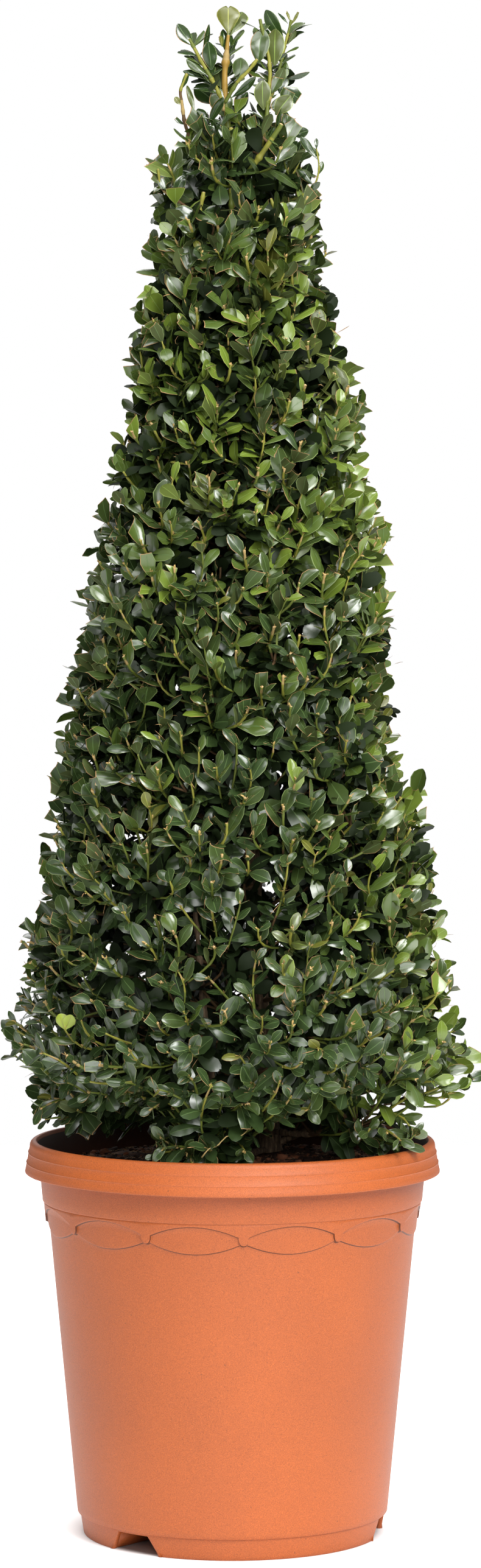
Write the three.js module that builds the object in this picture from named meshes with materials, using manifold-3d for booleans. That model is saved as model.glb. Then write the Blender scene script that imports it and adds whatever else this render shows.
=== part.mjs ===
// Boxwood clipped to a cone, growing in its round terracotta-coloured plastic pot.
// Millimetres, +Z up. The origin is the centre of the pot's foot, on the surface it stands on,
// and -Y is the front.

import * as THREE from 'three';
import { mergeVertices } from 'three/addons/utils/BufferGeometryUtils.js';
import Module from 'manifold-3d';

const wasm = await Module();
wasm.setup();

// ---------------------------------------------------------------- driving dimensions

const CLEARANCE = 0.3; // between pieces that touch

// pot: a straight taper from the skirt line up to the rim
const SKIRT_HEIGHT = 17.8;
const SKIRT_RADIUS = 127.3;
const TAPER = 0.0952; // growth of the radius per millimetre of height
const WALL = 2.6;
const FLOOR_UNDERSIDE = 15.5;
const FLOOR_TOP = 18.4;
const FOOT_TOP_RADIUS = 125.2;
const FOOT_RADIUS = 122.4;
const FOOT_WIDTH = 3.4;

const RIM_RADIUS = 170; // at its lower edge, the widest place on the pot
const RIM_TOP_RADIUS = 166;
const RIM_UNDERSIDE = 297;
const RIM_HEIGHT = 26;
const LIP_RADIUS = 160.5; // inner edge of the mouth

// relief under the rim: an upper band, a lower band that ends in arches, and lenses below them
const BAND_LINE = 273.6; // the fine line between the two bands
const UPPER_BAND_PROUD = 3.9;
const LOWER_BAND_PROUD = 3.1;
const LENS_PROUD = 1.3;
const LENS_COUNT = 12;
const FIRST_NUB = 3.4; // degrees round from the front
const NUB_HALF_ANGLE = 1.15;
const POT_SEGMENTS = 72; // six to each lens, so that the relief and the wall share their facets
const NUB_TIP = 256.6;
const NUB_ROOT = 262.3;
const ARCH_TOP = 270.9;
const LENS_BOTTOM = 248.7;
const LENS_END = 257.9;

// three drain notches in the foot, each at the mouth of a channel that runs in under the floor
const NOTCH_ANGLES = [-40, 80, 200]; // degrees round from the front
const NOTCH_WIDTH = 49;
const NOTCH_TOP_WIDTH = 30;
const CHANNEL_END_RADIUS = 52;

// soil, mounded towards the middle
const SOIL_EDGE = 299;
const SOIL_MOUND = 12;
const SOIL_ROUGHNESS = 1.6;

// crown: a clipped cone, and above it a looser neck that has outgrown the clipping
const CROWN_CENTRE_X = 5;
const CONE_UNDERSIDE = 360;
const CONE_WIDEST = { height: 408, radius: 184 };
const CONE_SHOULDER = { height: 1015, radius: 77 };
const CONE_TOP = 1050;
const NECK_FOOT = { height: 1042, radius: 72 };
const NECK_SHOULDER = { height: 1108, radius: 60 };
const NECK_TOP = { height: 1150, radius: 41 };
const CROWN_UNEVENNESS = 9;
const CROWN_ROW_SPACING = 44;
const CROWN_SEGMENTS = 24;

// ---------------------------------------------------------------- helpers

const degrees = THREE.MathUtils.degToRad;

// A closed geometry as a solid that can be joined and cut.
function solidOf(geometry) {
  const bare = geometry.clone();
  bare.deleteAttribute('normal');
  bare.deleteAttribute('uv');
  const merged = mergeVertices(bare, 1e-4);
  const corners = merged.index.array;
  const triangles = [];
  for (let i = 0; i < corners.length; i += 3) {
    const [a, b, c] = [corners[i], corners[i + 1], corners[i + 2]];
    if (a !== b && b !== c && c !== a) triangles.push(a, b, c);
  }
  return new wasm.Manifold(new wasm.Mesh({
    numProp: 3,
    vertProperties: new Float32Array(merged.attributes.position.array),
    triVerts: new Uint32Array(triangles),
  }));
}

function geometryOf(solid) {
  const mesh = solid.getMesh();
  const geometry = new THREE.BufferGeometry();
  geometry.setAttribute('position', new THREE.BufferAttribute(mesh.vertProperties, 3));
  geometry.setIndex(new THREE.BufferAttribute(mesh.triVerts, 1));
  geometry.computeVertexNormals();
  return geometry;
}

// The points of a profile, [radius, height] each, turned about the vertical axis.
function turned(profile, segments, start = 0) {
  const points = profile.map(([radius, height]) => new THREE.Vector2(radius, height));
  return new THREE.LatheGeometry(points, segments, start).rotateX(Math.PI / 2);
}

// Extra points along a profile, so that none of its steps is longer than the spacing.
function subdivided(profile, spacing) {
  const result = [profile[0]];
  for (let i = 1; i < profile.length; i += 1) {
    const start = new THREE.Vector2(...profile[i - 1]);
    const end = new THREE.Vector2(...profile[i]);
    const steps = Math.max(1, Math.round(start.distanceTo(end) / spacing));
    for (let step = 1; step <= steps; step += 1) {
      const point = start.clone().lerp(end, step / steps);
      result.push([point.x, point.y]);
    }
  }
  return result;
}

function moveEachPoint(geometry, move) {
  const positions = geometry.attributes.position;
  const point = new THREE.Vector3();
  for (let i = 0; i < positions.count; i += 1) {
    point.fromBufferAttribute(positions, i);
    move(point);
    positions.setXYZ(i, point.x, point.y, point.z);
  }
  return geometry;
}

// A smooth, repeatable unevenness between about -1 and 1.
function ripple(a, b, c, seed) {
  return 0.5 * Math.sin(a + seed) * Math.cos(b + 2 * seed)
    + 0.3 * Math.sin(2.3 * b - c + 3 * seed)
    + 0.2 * Math.cos(3.1 * c + 1.7 * a + 5 * seed);
}

// ---------------------------------------------------------------- pot

function bodyRadius(height) {
  return SKIRT_RADIUS + TAPER * (height - SKIRT_HEIGHT);
}

function innerRadius(height) {
  const underRim = bodyRadius(RIM_UNDERSIDE) + UPPER_BAND_PROUD - WALL;
  if (height >= RIM_UNDERSIDE) {
    const lip = RIM_UNDERSIDE + RIM_HEIGHT - 0.8;
    return THREE.MathUtils.mapLinear(height, RIM_UNDERSIDE, lip, underRim, LIP_RADIUS);
  }
  if (height > BAND_LINE) {
    const belowBand = bodyRadius(BAND_LINE) - WALL;
    return THREE.MathUtils.mapLinear(height, BAND_LINE, RIM_UNDERSIDE, belowBand, underRim);
  }
  return bodyRadius(height) - WALL;
}

// The wall, floor, foot and rim in one turned profile, from the floor's underside round the
// outside to the floor's top.
function potWallSolid() {
  const rimTop = RIM_UNDERSIDE + RIM_HEIGHT;
  return solidOf(turned([
    [0, FLOOR_UNDERSIDE],
    [FOOT_TOP_RADIUS - FOOT_WIDTH, FLOOR_UNDERSIDE],
    [FOOT_RADIUS - FOOT_WIDTH, 0],
    [FOOT_RADIUS, 0],
    [FOOT_TOP_RADIUS, SKIRT_HEIGHT],
    [SKIRT_RADIUS, SKIRT_HEIGHT],
    [bodyRadius(BAND_LINE - 1.5), BAND_LINE - 1.5],
    [bodyRadius(BAND_LINE) + UPPER_BAND_PROUD, BAND_LINE],
    [bodyRadius(RIM_UNDERSIDE) + UPPER_BAND_PROUD, RIM_UNDERSIDE],
    [RIM_RADIUS, RIM_UNDERSIDE],
    [RIM_TOP_RADIUS, rimTop - 4],
    [RIM_TOP_RADIUS - 2.5, rimTop],
    [LIP_RADIUS, rimTop - 0.8],
    [innerRadius(RIM_UNDERSIDE), RIM_UNDERSIDE],
    [innerRadius(BAND_LINE), BAND_LINE],
    [innerRadius(FLOOR_TOP), FLOOR_TOP],
    [0, FLOOR_TOP],
  ], POT_SEGMENTS, degrees(FIRST_NUB)));
}

// A closed ring of relief: straight along its top, with a lower edge whose height follows the
// angle within each lens. It starts inside the wall and stands proud of the body by its depth.
function reliefRing(columns, top, lowerEdge, proud) {
  const positions = [];
  for (let lens = 0; lens < LENS_COUNT; lens += 1) {
    for (const offset of columns) {
      const angle = degrees(FIRST_NUB + (360 / LENS_COUNT) * (lens + 0.5) + offset);
      const low = lowerEdge(offset);
      const corners = [
        [bodyRadius(top) - 1, top],
        [bodyRadius(low) - 1, low],
        [bodyRadius(low) + proud, low],
        [bodyRadius(top) + proud, top],
      ];
      for (const [radius, height] of corners) {
        positions.push(radius * Math.sin(angle), -radius * Math.cos(angle), height);
      }
    }
  }
  const count = LENS_COUNT * columns.length;
  const index = [];
  for (let column = 0; column < count; column += 1) {
    for (let corner = 0; corner < 4; corner += 1) {
      const a = column * 4 + corner;
      const b = column * 4 + ((corner + 1) % 4);
      const c = ((column + 1) % count) * 4 + corner;
      const d = ((column + 1) % count) * 4 + ((corner + 1) % 4);
      index.push(a, d, b, a, c, d);
    }
  }
  const geometry = new THREE.BufferGeometry();
  geometry.setAttribute('position', new THREE.Float32BufferAttribute(positions, 3));
  geometry.setIndex(index);
  return solidOf(geometry);
}

// Lower band: an arch over each lens, and a small round nub hanging between two arches.
function archedBandSolid() {
  const halfLens = 180 / LENS_COUNT;
  const nubSide = halfLens - NUB_HALF_ANGLE;
  const archEnd = nubSide - 0.3;
  const lowerEdge = (offset) => {
    const away = Math.abs(offset);
    if (away > halfLens - 0.01) return NUB_TIP;
    if (away > archEnd) return NUB_TIP + 1.4;
    return ARCH_TOP - (ARCH_TOP - NUB_ROOT) * (away / archEnd) ** 2;
  };
  const columns = [-nubSide, -archEnd, -10, -5, 0, 5, 10, archEnd, nubSide, halfLens];
  return reliefRing(columns, BAND_LINE + 0.6, lowerEdge, LOWER_BAND_PROUD);
}

// Lenses: a middle layer whose lower edge hangs in a shallow bow from nub to nub.
function lensBandSolid() {
  const halfLens = 180 / LENS_COUNT;
  const lowerEdge = (offset) => (
    LENS_BOTTOM + (LENS_END - LENS_BOTTOM) * (Math.abs(offset) / halfLens) ** 2
  );
  return reliefRing([-10, -5, 0, 5, 10, halfLens], BAND_LINE - 1, lowerEdge, LENS_PROUD);
}

// A bar with the notch's trapezoid for its section, lying along a radius of the foot.
function notchBar(angle, from, to, grow, bottom) {
  const halfWidth = NOTCH_WIDTH / 2 + grow;
  const halfTop = NOTCH_TOP_WIDTH / 2 + grow;
  const outline = new THREE.Shape([
    new THREE.Vector2(-halfWidth, bottom),
    new THREE.Vector2(halfWidth, bottom),
    new THREE.Vector2(halfTop, FLOOR_UNDERSIDE + 0.4),
    new THREE.Vector2(-halfTop, FLOOR_UNDERSIDE + 0.4),
  ]);
  const bar = new THREE.ExtrudeGeometry(outline, { depth: to - from, bevelEnabled: false });
  bar.rotateX(Math.PI / 2).translate(0, -from, 0).rotateZ(degrees(angle));
  return solidOf(bar);
}

function potGeometry() {
  let pot = potWallSolid().add(archedBandSolid()).add(lensBandSolid());
  for (const angle of NOTCH_ANGLES) {
    const insideFoot = FOOT_RADIUS - FOOT_WIDTH / 2;
    const channel = notchBar(angle, CHANNEL_END_RADIUS, insideFoot, WALL, 0);
    const hollow = notchBar(angle, CHANNEL_END_RADIUS + WALL, FOOT_TOP_RADIUS + 5, 0, -1);
    pot = pot.add(channel).subtract(hollow);
  }
  return geometryOf(pot);
}

// ---------------------------------------------------------------- limbs

// A tapering limb along a smooth curve through its points. Its radius falls from thick to thin,
// with an extra flare at its foot.
function limbSolid(limb, clearance = 0) {
  const { points, thick, thin, flare = 0, sides = 6, steps = 6 } = limb;
  const curve = new THREE.CatmullRomCurve3(points.map((point) => new THREE.Vector3(...point)));
  const frames = curve.computeFrenetFrames(steps);
  const length = curve.getLength();
  const positions = [];
  for (let step = 0; step <= steps; step += 1) {
    const along = step / steps;
    const centre = curve.getPointAt(along);
    const foot = flare * Math.exp((-along * length) / (2.5 * thick));
    const radius = THREE.MathUtils.lerp(thick, thin, along) + foot + clearance;
    if (step === 0) centre.addScaledVector(frames.tangents[0], -clearance);
    if (step === steps) centre.addScaledVector(frames.tangents[steps], clearance);
    for (let side = 0; side < sides; side += 1) {
      const angle = (2 * Math.PI * side) / sides;
      const point = centre.clone()
        .addScaledVector(frames.normals[step], radius * Math.cos(angle))
        .addScaledVector(frames.binormals[step], radius * Math.sin(angle));
      positions.push(...point.toArray());
    }
  }
  const index = [];
  for (let step = 0; step < steps; step += 1) {
    for (let side = 0; side < sides; side += 1) {
      const a = step * sides + side;
      const b = step * sides + ((side + 1) % sides);
      index.push(a, b, b + sides, a, b + sides, a + sides);
    }
  }
  const last = steps * sides;
  for (let side = 1; side < sides - 1; side += 1) {
    index.push(0, side + 1, side, last, last + side, last + side + 1);
  }
  const geometry = new THREE.BufferGeometry();
  geometry.setAttribute('position', new THREE.Float32BufferAttribute(positions, 3));
  geometry.setIndex(index);
  return solidOf(geometry);
}

// The leader leans left from its foot and then stands almost upright to the top.
const STEM_FOOT = [30, 8, 309];
const STEMS = {
  stem_main: {
    points: [
      STEM_FOOT, [30, 8, 322], [24, 5, 420], [11, 1, 640], [2, 0, 880],
      [-1, 0, 1070], [-3, 0, 1140], [-7, 0, 1180], [-3, 0, 1226],
    ],
    thick: 8, thin: 2, flare: 3.5, sides: 8, steps: 22,
  },
  stem_front: {
    points: [[-10, -50, 304], [-11, -51, 318], [-13, -58, 350], [-22, -72, 430], [-30, -80, 520]],
    thick: 3, thin: 2, flare: 1.2, steps: 9,
  },
};

// Low boughs: each leaves the leader near its foot and ends inside its own spray or the crown.
const BOUGHS = {
  bough_low_right: {
    points: [[29, 8, 317], [57, 2, 327], [93, -10, 344], [140, -20, 358]], thick: 3.2, thin: 1.6,
  },
  bough_low_left: {
    points: [[29, 8, 321], [-10, 2, 331], [-70, -16, 345], [-118, -26, 352]], thick: 3.4, thin: 1.6,
  },
  bough_low_back: {
    points: [[29, 9, 325], [30, 45, 333], [28, 95, 338]], thick: 3, thin: 1.5,
  },
  bough_low_front: {
    points: [[29, 7, 314], [16, -30, 315], [3, -72, 317], [-22, -108, 326]], thick: 3, thin: 1.5,
  },
  bough_rim_right: {
    points: [[30, 7, 329], [62, -30, 330], [102, -60, 339]], thick: 2.6, thin: 1.4,
  },
};

// Shoots that stand out of the crown's neck. The clipped one ends in a square cut.
const SHOOTS = {
  shoot_top_left: {
    points: [[-5, 0, 1160], [-12, -3, 1178], [-24, -5, 1199], [-35, -6, 1219]], thick: 1.9, thin: 1.3,
  },
  shoot_top_right: {
    points: [[0, 0, 1086], [20, -4, 1122], [27, -3, 1146], [29, 0, 1178], [31, 1, 1196], [22, 2, 1236]],
    thick: 2.3, thin: 1.3, steps: 10,
  },
  shoot_top_far_right: {
    points: [[28, 0, 1164], [36, 6, 1188], [43, 8, 1216], [48, 8, 1236]], thick: 1.5, thin: 1,
  },
  shoot_clipped: {
    points: [[-1, 0, 1068], [5, -14, 1098], [22, -22, 1122], [40, -29, 1148]], thick: 2.4, thin: 2.1,
  },
};

// ---------------------------------------------------------------- soil

function soilHeight(x, y, across) {
  const mound = SOIL_MOUND * (1 - across * across);
  const lumps = SOIL_ROUGHNESS * (1 - across ** 4) * ripple(x / 13, y / 15, (x + y) / 11, 0.7);
  return SOIL_EDGE + mound + lumps;
}

function soilSolid() {
  const wall = (height) => innerRadius(height) - CLEARANCE - 0.4;
  const floor = FLOOR_TOP + CLEARANCE;
  const top = [0.86, 0.68, 0.5, 0.32, 0.15].map((part) => [part * wall(SOIL_EDGE), SOIL_EDGE]);
  const profile = [
    [0, floor], [wall(FLOOR_TOP), floor], [wall(BAND_LINE), BAND_LINE],
    [wall(RIM_UNDERSIDE), RIM_UNDERSIDE], [wall(SOIL_EDGE), SOIL_EDGE], ...top, [0, SOIL_EDGE],
  ];
  const block = moveEachPoint(turned(profile, 28), (point) => {
    if (point.z < SOIL_EDGE - 0.01) return;
    const across = Math.min(1, Math.hypot(point.x, point.y) / wall(SOIL_EDGE));
    point.z = soilHeight(point.x, point.y, across);
  });
  return solidOf(block);
}

// ---------------------------------------------------------------- foliage

// A mass of clipped leaves turned from its profile and made uneven. As a cutter it is grown
// outwards by a clearance.
function crownSolid(profile, seed, clearance) {
  const middle = (profile[0][1] + profile.at(-1)[1]) / 2;
  const rows = subdivided(profile, CROWN_ROW_SPACING);
  const surface = moveEachPoint(turned(rows, CROWN_SEGMENTS), (point) => {
    const radius = Math.hypot(point.x, point.y);
    const angle = Math.atan2(point.y, point.x);
    const lump = ripple(3 * angle, point.z / 37, 5 * Math.sin(angle) + point.z / 21, seed);
    const fade = Math.min(1, radius / NECK_TOP.radius);
    const grown = radius + clearance + fade * CROWN_UNEVENNESS * lump;
    const endward = point.z > middle ? clearance : -clearance;
    if (radius > 1) {
      point.x *= grown / radius;
      point.y *= grown / radius;
    }
    point.z += endward;
  });
  return solidOf(surface.translate(CROWN_CENTRE_X, 0, 0));
}

function coneSolid(clearance = 0) {
  return crownSolid([
    [0, CONE_UNDERSIDE + 6],
    [0.66 * CONE_WIDEST.radius, CONE_UNDERSIDE],
    [0.88 * CONE_WIDEST.radius, CONE_UNDERSIDE + 6],
    [0.98 * CONE_WIDEST.radius, CONE_UNDERSIDE + 25],
    [CONE_WIDEST.radius, CONE_WIDEST.height],
    [CONE_SHOULDER.radius, CONE_SHOULDER.height],
    [0.6 * CONE_SHOULDER.radius, CONE_TOP - 8],
    [0, CONE_TOP],
  ], 1.9, clearance);
}

function neckSolid(clearance = 0) {
  return crownSolid([
    [0, CONE_TOP - 12],
    [0.75 * NECK_FOOT.radius, NECK_FOOT.height - 24],
    [NECK_FOOT.radius, NECK_FOOT.height],
    [NECK_SHOULDER.radius, NECK_SHOULDER.height],
    [NECK_TOP.radius, NECK_TOP.height],
    [0, NECK_TOP.height + 14],
  ], 4.4, clearance);
}

// A spray of leaves as an uneven, rounded solid round its centre.
function spraySolid({ centre, radii, turn = 0, tilt = 0, seed }, clearance = 0) {
  const geometry = new THREE.IcosahedronGeometry(1, 2);
  moveEachPoint(geometry, (point) => {
    const uneven = 1 + 0.16 * ripple(3.1 * point.x, 2.7 * point.y, 3.7 * point.z, seed);
    const { x, y, z } = point;
    point.set(x * radii[0], y * radii[1], z * radii[2]).multiplyScalar(uneven);
    point.addScaledVector(new THREE.Vector3(x, y, z), clearance);
  });
  geometry.rotateY(degrees(tilt)).rotateZ(degrees(turn)).translate(...centre);
  return solidOf(geometry);
}

const TOP_SPRAYS = {
  foliage_tip: { centre: [-4, 0, 1226], radii: [11, 9, 23], seed: 1 },
  foliage_top_left: { centre: [-28, -3, 1194], radii: [15, 15, 38], tilt: -22, seed: 2 },
  foliage_top_right: { centre: [28, -1, 1194], radii: [19, 17, 42], seed: 3 },
  foliage_top_far_right: { centre: [46, 7, 1228], radii: [8, 7, 20], tilt: 14, seed: 4 },
};

const LOW_SPRAYS = {
  foliage_low_right: { centre: [151, -20, 368], radii: [45, 58, 24], seed: 5 },
  foliage_low_left: { centre: [-126, -24, 362], radii: [60, 66, 24], seed: 6 },
  foliage_low_back: { centre: [22, 112, 345], radii: [72, 44, 20], seed: 7 },
  foliage_low_front: { centre: [-32, -122, 334], radii: [42, 32, 18], seed: 8 },
  foliage_rim_right: { centre: [124, -78, 341], radii: [38, 30, 14], turn: -20, seed: 9 },
};

// ---------------------------------------------------------------- pieces cut to fit each other

function cutClear(solid, cutters) {
  return cutters.reduce((rest, cutter) => rest.subtract(cutter), solid);
}

function solidPieces() {
  const limbs = { ...STEMS, ...BOUGHS, ...SHOOTS };
  const cutters = Object.fromEntries(
    Object.entries(limbs).map(([name, limb]) => [name, limbSolid(limb, CLEARANCE)]),
  );
  const pieces = { stem_main: limbSolid(STEMS.stem_main), stem_front: limbSolid(STEMS.stem_front) };

  // each limb gives way to the ones it grows from
  const placed = [cutters.stem_main];
  for (const [name, limb] of Object.entries({ ...BOUGHS, ...SHOOTS })) {
    pieces[name] = cutClear(limbSolid(limb), placed);
    placed.push(cutters[name]);
  }

  const limbCutters = Object.values(cutters);
  pieces.soil = cutClear(soilSolid(), limbCutters);
  pieces.foliage_cone = cutClear(coneSolid(), limbCutters);
  pieces.foliage_neck = cutClear(neckSolid(), [...limbCutters, coneSolid(CLEARANCE)]);

  // each spray gives way to the limbs, the crown and the sprays placed before it
  const sprayCutters = [...limbCutters, coneSolid(CLEARANCE), neckSolid(CLEARANCE)];
  for (const [name, spray] of Object.entries({ ...TOP_SPRAYS, ...LOW_SPRAYS })) {
    pieces[name] = cutClear(spraySolid(spray), sprayCutters);
    sprayCutters.push(spraySolid(spray, CLEARANCE));
  }
  return pieces;
}

// ---------------------------------------------------------------- materials

const plain = (color, roughness) => () => new THREE.MeshStandardMaterial({
  color, roughness, metalness: 0, flatShading: true,
});
const terracottaPlastic = plain(0xd0713f, 0.6);
const peat = plain(0x2a1a12, 0.95);
const bark = plain(0x6b5335, 0.85);
const greenShoot = plain(0x8a8a35, 0.7);
const boxLeaves = plain(0x2c4f22, 0.5);

function materialFor(name) {
  if (name === 'soil') return peat();
  if (name.startsWith('foliage')) return boxLeaves();
  return name.startsWith('shoot') ? greenShoot() : bark();
}

// ---------------------------------------------------------------- scene graph

const group = new THREE.Group();
const named = (name, geometry, material) => {
  const mesh = new THREE.Mesh(geometry, material);
  mesh.name = name;
  group.add(mesh);
};

named('pot', potGeometry(), terracottaPlastic());
for (const [name, solid] of Object.entries(solidPieces())) {
  named(name, geometryOf(solid), materialFor(name));
}

export default group;
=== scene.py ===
"""A boxwood clipped to a cone in its terracotta-coloured pot: the looks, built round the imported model.

Everything is in metres, +Z up, with -Y as the front. The crown is grown by a seeded rule: boughs leave
the leader, twigs leave the boughs, and shoots run from the twigs to points on the surfaces of the
packed foliage masses. Leaves sit on the shoots in crossed pairs.
"""

import math

import bpy
import numpy as np
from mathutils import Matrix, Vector, noise
from mathutils.bvhtree import BVHTree
from mathutils.kdtree import KDTree


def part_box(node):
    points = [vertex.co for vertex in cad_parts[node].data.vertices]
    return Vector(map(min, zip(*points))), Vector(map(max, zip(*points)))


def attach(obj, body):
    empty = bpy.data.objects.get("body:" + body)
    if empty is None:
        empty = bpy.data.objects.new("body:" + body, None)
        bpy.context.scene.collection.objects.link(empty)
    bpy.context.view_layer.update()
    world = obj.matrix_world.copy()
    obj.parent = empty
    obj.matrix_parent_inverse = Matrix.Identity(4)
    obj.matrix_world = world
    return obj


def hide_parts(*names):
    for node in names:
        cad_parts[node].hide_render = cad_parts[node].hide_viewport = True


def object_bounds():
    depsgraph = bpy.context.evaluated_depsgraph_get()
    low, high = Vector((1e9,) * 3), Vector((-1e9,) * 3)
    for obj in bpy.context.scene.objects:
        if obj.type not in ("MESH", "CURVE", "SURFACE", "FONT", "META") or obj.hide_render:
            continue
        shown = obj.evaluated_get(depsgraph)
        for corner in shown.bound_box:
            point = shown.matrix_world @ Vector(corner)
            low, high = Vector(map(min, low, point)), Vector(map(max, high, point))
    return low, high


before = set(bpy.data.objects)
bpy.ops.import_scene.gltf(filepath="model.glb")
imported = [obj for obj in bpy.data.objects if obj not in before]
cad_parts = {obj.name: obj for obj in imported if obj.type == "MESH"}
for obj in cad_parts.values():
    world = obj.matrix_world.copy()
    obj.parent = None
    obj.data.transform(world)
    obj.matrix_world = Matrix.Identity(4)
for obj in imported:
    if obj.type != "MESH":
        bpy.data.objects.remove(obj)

SEED = 20
MM = 0.001
UP = np.array([0.0, 0.0, 1.0])
GOLDEN_ANGLE = math.radians(137.508)

cad_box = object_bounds()


# ------------------------------------------------------------------ helpers


def random_for(stage):
    """A generator of its own for each stage, so that a change to one leaves the others alone."""
    return np.random.default_rng([SEED, sum(map(ord, stage))])


def unit(vectors):
    length = np.linalg.norm(vectors, axis=-1, keepdims=True)
    return vectors / np.maximum(length, 1e-12)


def square_to(vectors, along):
    """Unit vectors at right angles to the given directions, as near as possible to these vectors."""
    return unit(vectors - along * np.sum(vectors * along, -1, keepdims=True))


def compass(heading):
    """The level direction at an angle from +X towards +Y."""
    return np.array([math.cos(heading), math.sin(heading), 0])


def at_height(line, height):
    """The point of an upright line at this height."""
    return np.array([np.interp(height, line[:, 2], line[:, k]) for k in range(3)])


def line_length(line):
    return np.linalg.norm(np.diff(line, axis=0), axis=1).sum()


def node_mesh(name):
    """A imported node's corners and triangles."""
    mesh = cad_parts[name].data
    mesh.calc_loop_triangles()
    corners = np.empty(3 * len(mesh.vertices))
    mesh.vertices.foreach_get("co", corners)
    triangles = np.empty(3 * len(mesh.loop_triangles), int)
    mesh.loop_triangles.foreach_get("vertices", triangles)
    return corners.reshape(-1, 3), triangles.reshape(-1, 3)


class Joined:
    """Corners, faces and their slots, gathered for one joined piece."""

    def __init__(self):
        self.corners = []
        self.count = 0
        self.faces = {3: [], 4: []}
        self.slots = {3: [], 4: []}

    def add_corners(self, corners):
        corners = np.asarray(corners, float).reshape(-1, 3)
        first = self.count
        self.corners.append(corners)
        self.count += len(corners)
        return first

    def add_faces(self, faces, slots):
        faces = np.asarray(faces, int)
        sides = faces.shape[-1]
        faces = faces.reshape(-1, sides)
        self.faces[sides].append(faces)
        self.slots[sides].append(np.broadcast_to(slots, len(faces)).astype(int))

    def cap(self, rings, points, slots):
        """Close each ring of corners with triangles to a point of its own."""
        rings = np.atleast_2d(rings)
        tips = self.add_corners(points) + np.arange(len(rings))[:, None]
        fans = np.stack([rings, np.roll(rings, -1, axis=1), np.broadcast_to(tips, rings.shape)], -1)
        self.add_faces(fans, slots)

    def piece(self, name, materials, replaced=()):
        """The piece itself, riding on the plant's one body."""
        mesh = bpy.data.meshes.new(name)
        corners = np.concatenate(self.corners)
        mesh.vertices.add(len(corners))
        mesh.vertices.foreach_set("co", corners.ravel())
        loops = np.concatenate([f.ravel() for f in self.faces[3] + self.faces[4]])
        triangles, quads = (sum(map(len, self.faces[sides])) for sides in (3, 4))
        starts = np.concatenate([np.arange(triangles) * 3, 3 * triangles + np.arange(quads) * 4])
        mesh.loops.add(len(loops))
        mesh.loops.foreach_set("vertex_index", loops)
        mesh.polygons.add(len(starts))
        mesh.polygons.foreach_set("loop_start", starts)
        mesh.polygons.foreach_set("material_index", np.concatenate(self.slots[3] + self.slots[4]))
        mesh.polygons.foreach_set("use_smooth", np.ones(len(starts), bool))
        mesh.update(calc_edges=True)
        for material in materials:
            mesh.materials.append(material)
        obj = bpy.data.objects.new(name, mesh)
        bpy.context.scene.collection.objects.link(obj)
        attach(obj, "root")
        if replaced:
            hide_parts(*replaced)
        return obj


def grid_faces(rows, columns, closed=False):
    """Quads of a grid of corners stored row by row. A closed grid joins its last column to its first."""
    row = np.arange(rows - 1)[:, None]
    column = np.arange(columns if closed else columns - 1)[None, :]
    after = (column + 1) % columns
    a = row * columns + column
    b = row * columns + after
    return np.stack([a, b, b + columns, a + columns], -1).reshape(-1, 4)


# ------------------------------------------------------------------ materials


class Nodes:
    """Short ways to add nodes to the tree of one material or of the world."""

    def __init__(self, tree):
        self.tree = tree

    def add(self, kind, **settings):
        node = self.tree.nodes.new("ShaderNode" + kind)
        for name, value in settings.items():
            setattr(node, name, value)
        return node

    def feed(self, socket, value):
        """Link an output to the socket, or set the socket itself to a number, a vector or a colour."""
        if isinstance(value, bpy.types.NodeSocket):
            self.tree.links.new(value, socket)
        elif socket.type == "RGBA":
            socket.default_value = (*value, 1)
        else:
            socket.default_value = value

    def output(self, kind, output, inputs, **settings):
        """An output of a new node whose inputs are fed with these values."""
        node = self.add(kind, **settings)
        for key, value in inputs.items():
            self.feed(node.inputs[key], value)
        return node.outputs[output]

    def place(self):
        return self.add("TexCoord").outputs["Object"]

    def noise(self, place, scale, detail, roughness=0.5):
        inputs = {"Vector": place, "Scale": scale, "Detail": detail, "Roughness": roughness}
        return self.output("TexNoise", "Fac", inputs)

    def ramp(self, factor, *stops):
        """A colour ramp: each stop is (place, colour), or (place, grey)."""
        node = self.add("ValToRGB")
        elements = node.color_ramp.elements
        while len(elements) < len(stops):
            elements.new(0.5)
        for element, (place, colour) in zip(elements, stops):
            element.position = place
            element.color = (*colour, 1) if isinstance(colour, tuple) else (colour, colour, colour, 1)
        self.feed(node.inputs["Fac"], factor)
        return node.outputs["Color"]

    def mix(self, factor, a, b, blend="MIX"):
        return self.output("Mix", 2, {0: factor, 6: a, 7: b}, data_type="RGBA", blend_type=blend)

    def bump(self, height, strength, distance):
        return self.output("Bump", "Normal", {"Height": height, "Strength": strength, "Distance": distance})

    def surface(self, colour, roughness, specular=0.5, normal=None):
        """Set the shader's own sockets. The colour may be linked, and the normal is where there is one."""
        inputs = self.tree.nodes["Principled BSDF"].inputs
        self.feed(inputs["Base Color"], colour)
        self.feed(inputs["Roughness"], roughness)
        self.feed(inputs["Specular IOR Level"], specular)
        if normal is not None:
            self.feed(inputs["Normal"], normal)
        return inputs


def new_material(name):
    material = bpy.data.materials.new(name)
    material.use_nodes = True
    return material, Nodes(material.node_tree)


def plain(name, colour, roughness, specular=0.5):
    """A material with the same value everywhere."""
    material, nodes = new_material(name)
    nodes.surface(colour, roughness, specular)
    return material


TERRACOTTA = (0.408, 0.0955, 0.0178)
TERRACOTTA_DULL = (0.362, 0.085, 0.0178)
POT_DIRT = (0.05, 0.022, 0.012)


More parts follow.
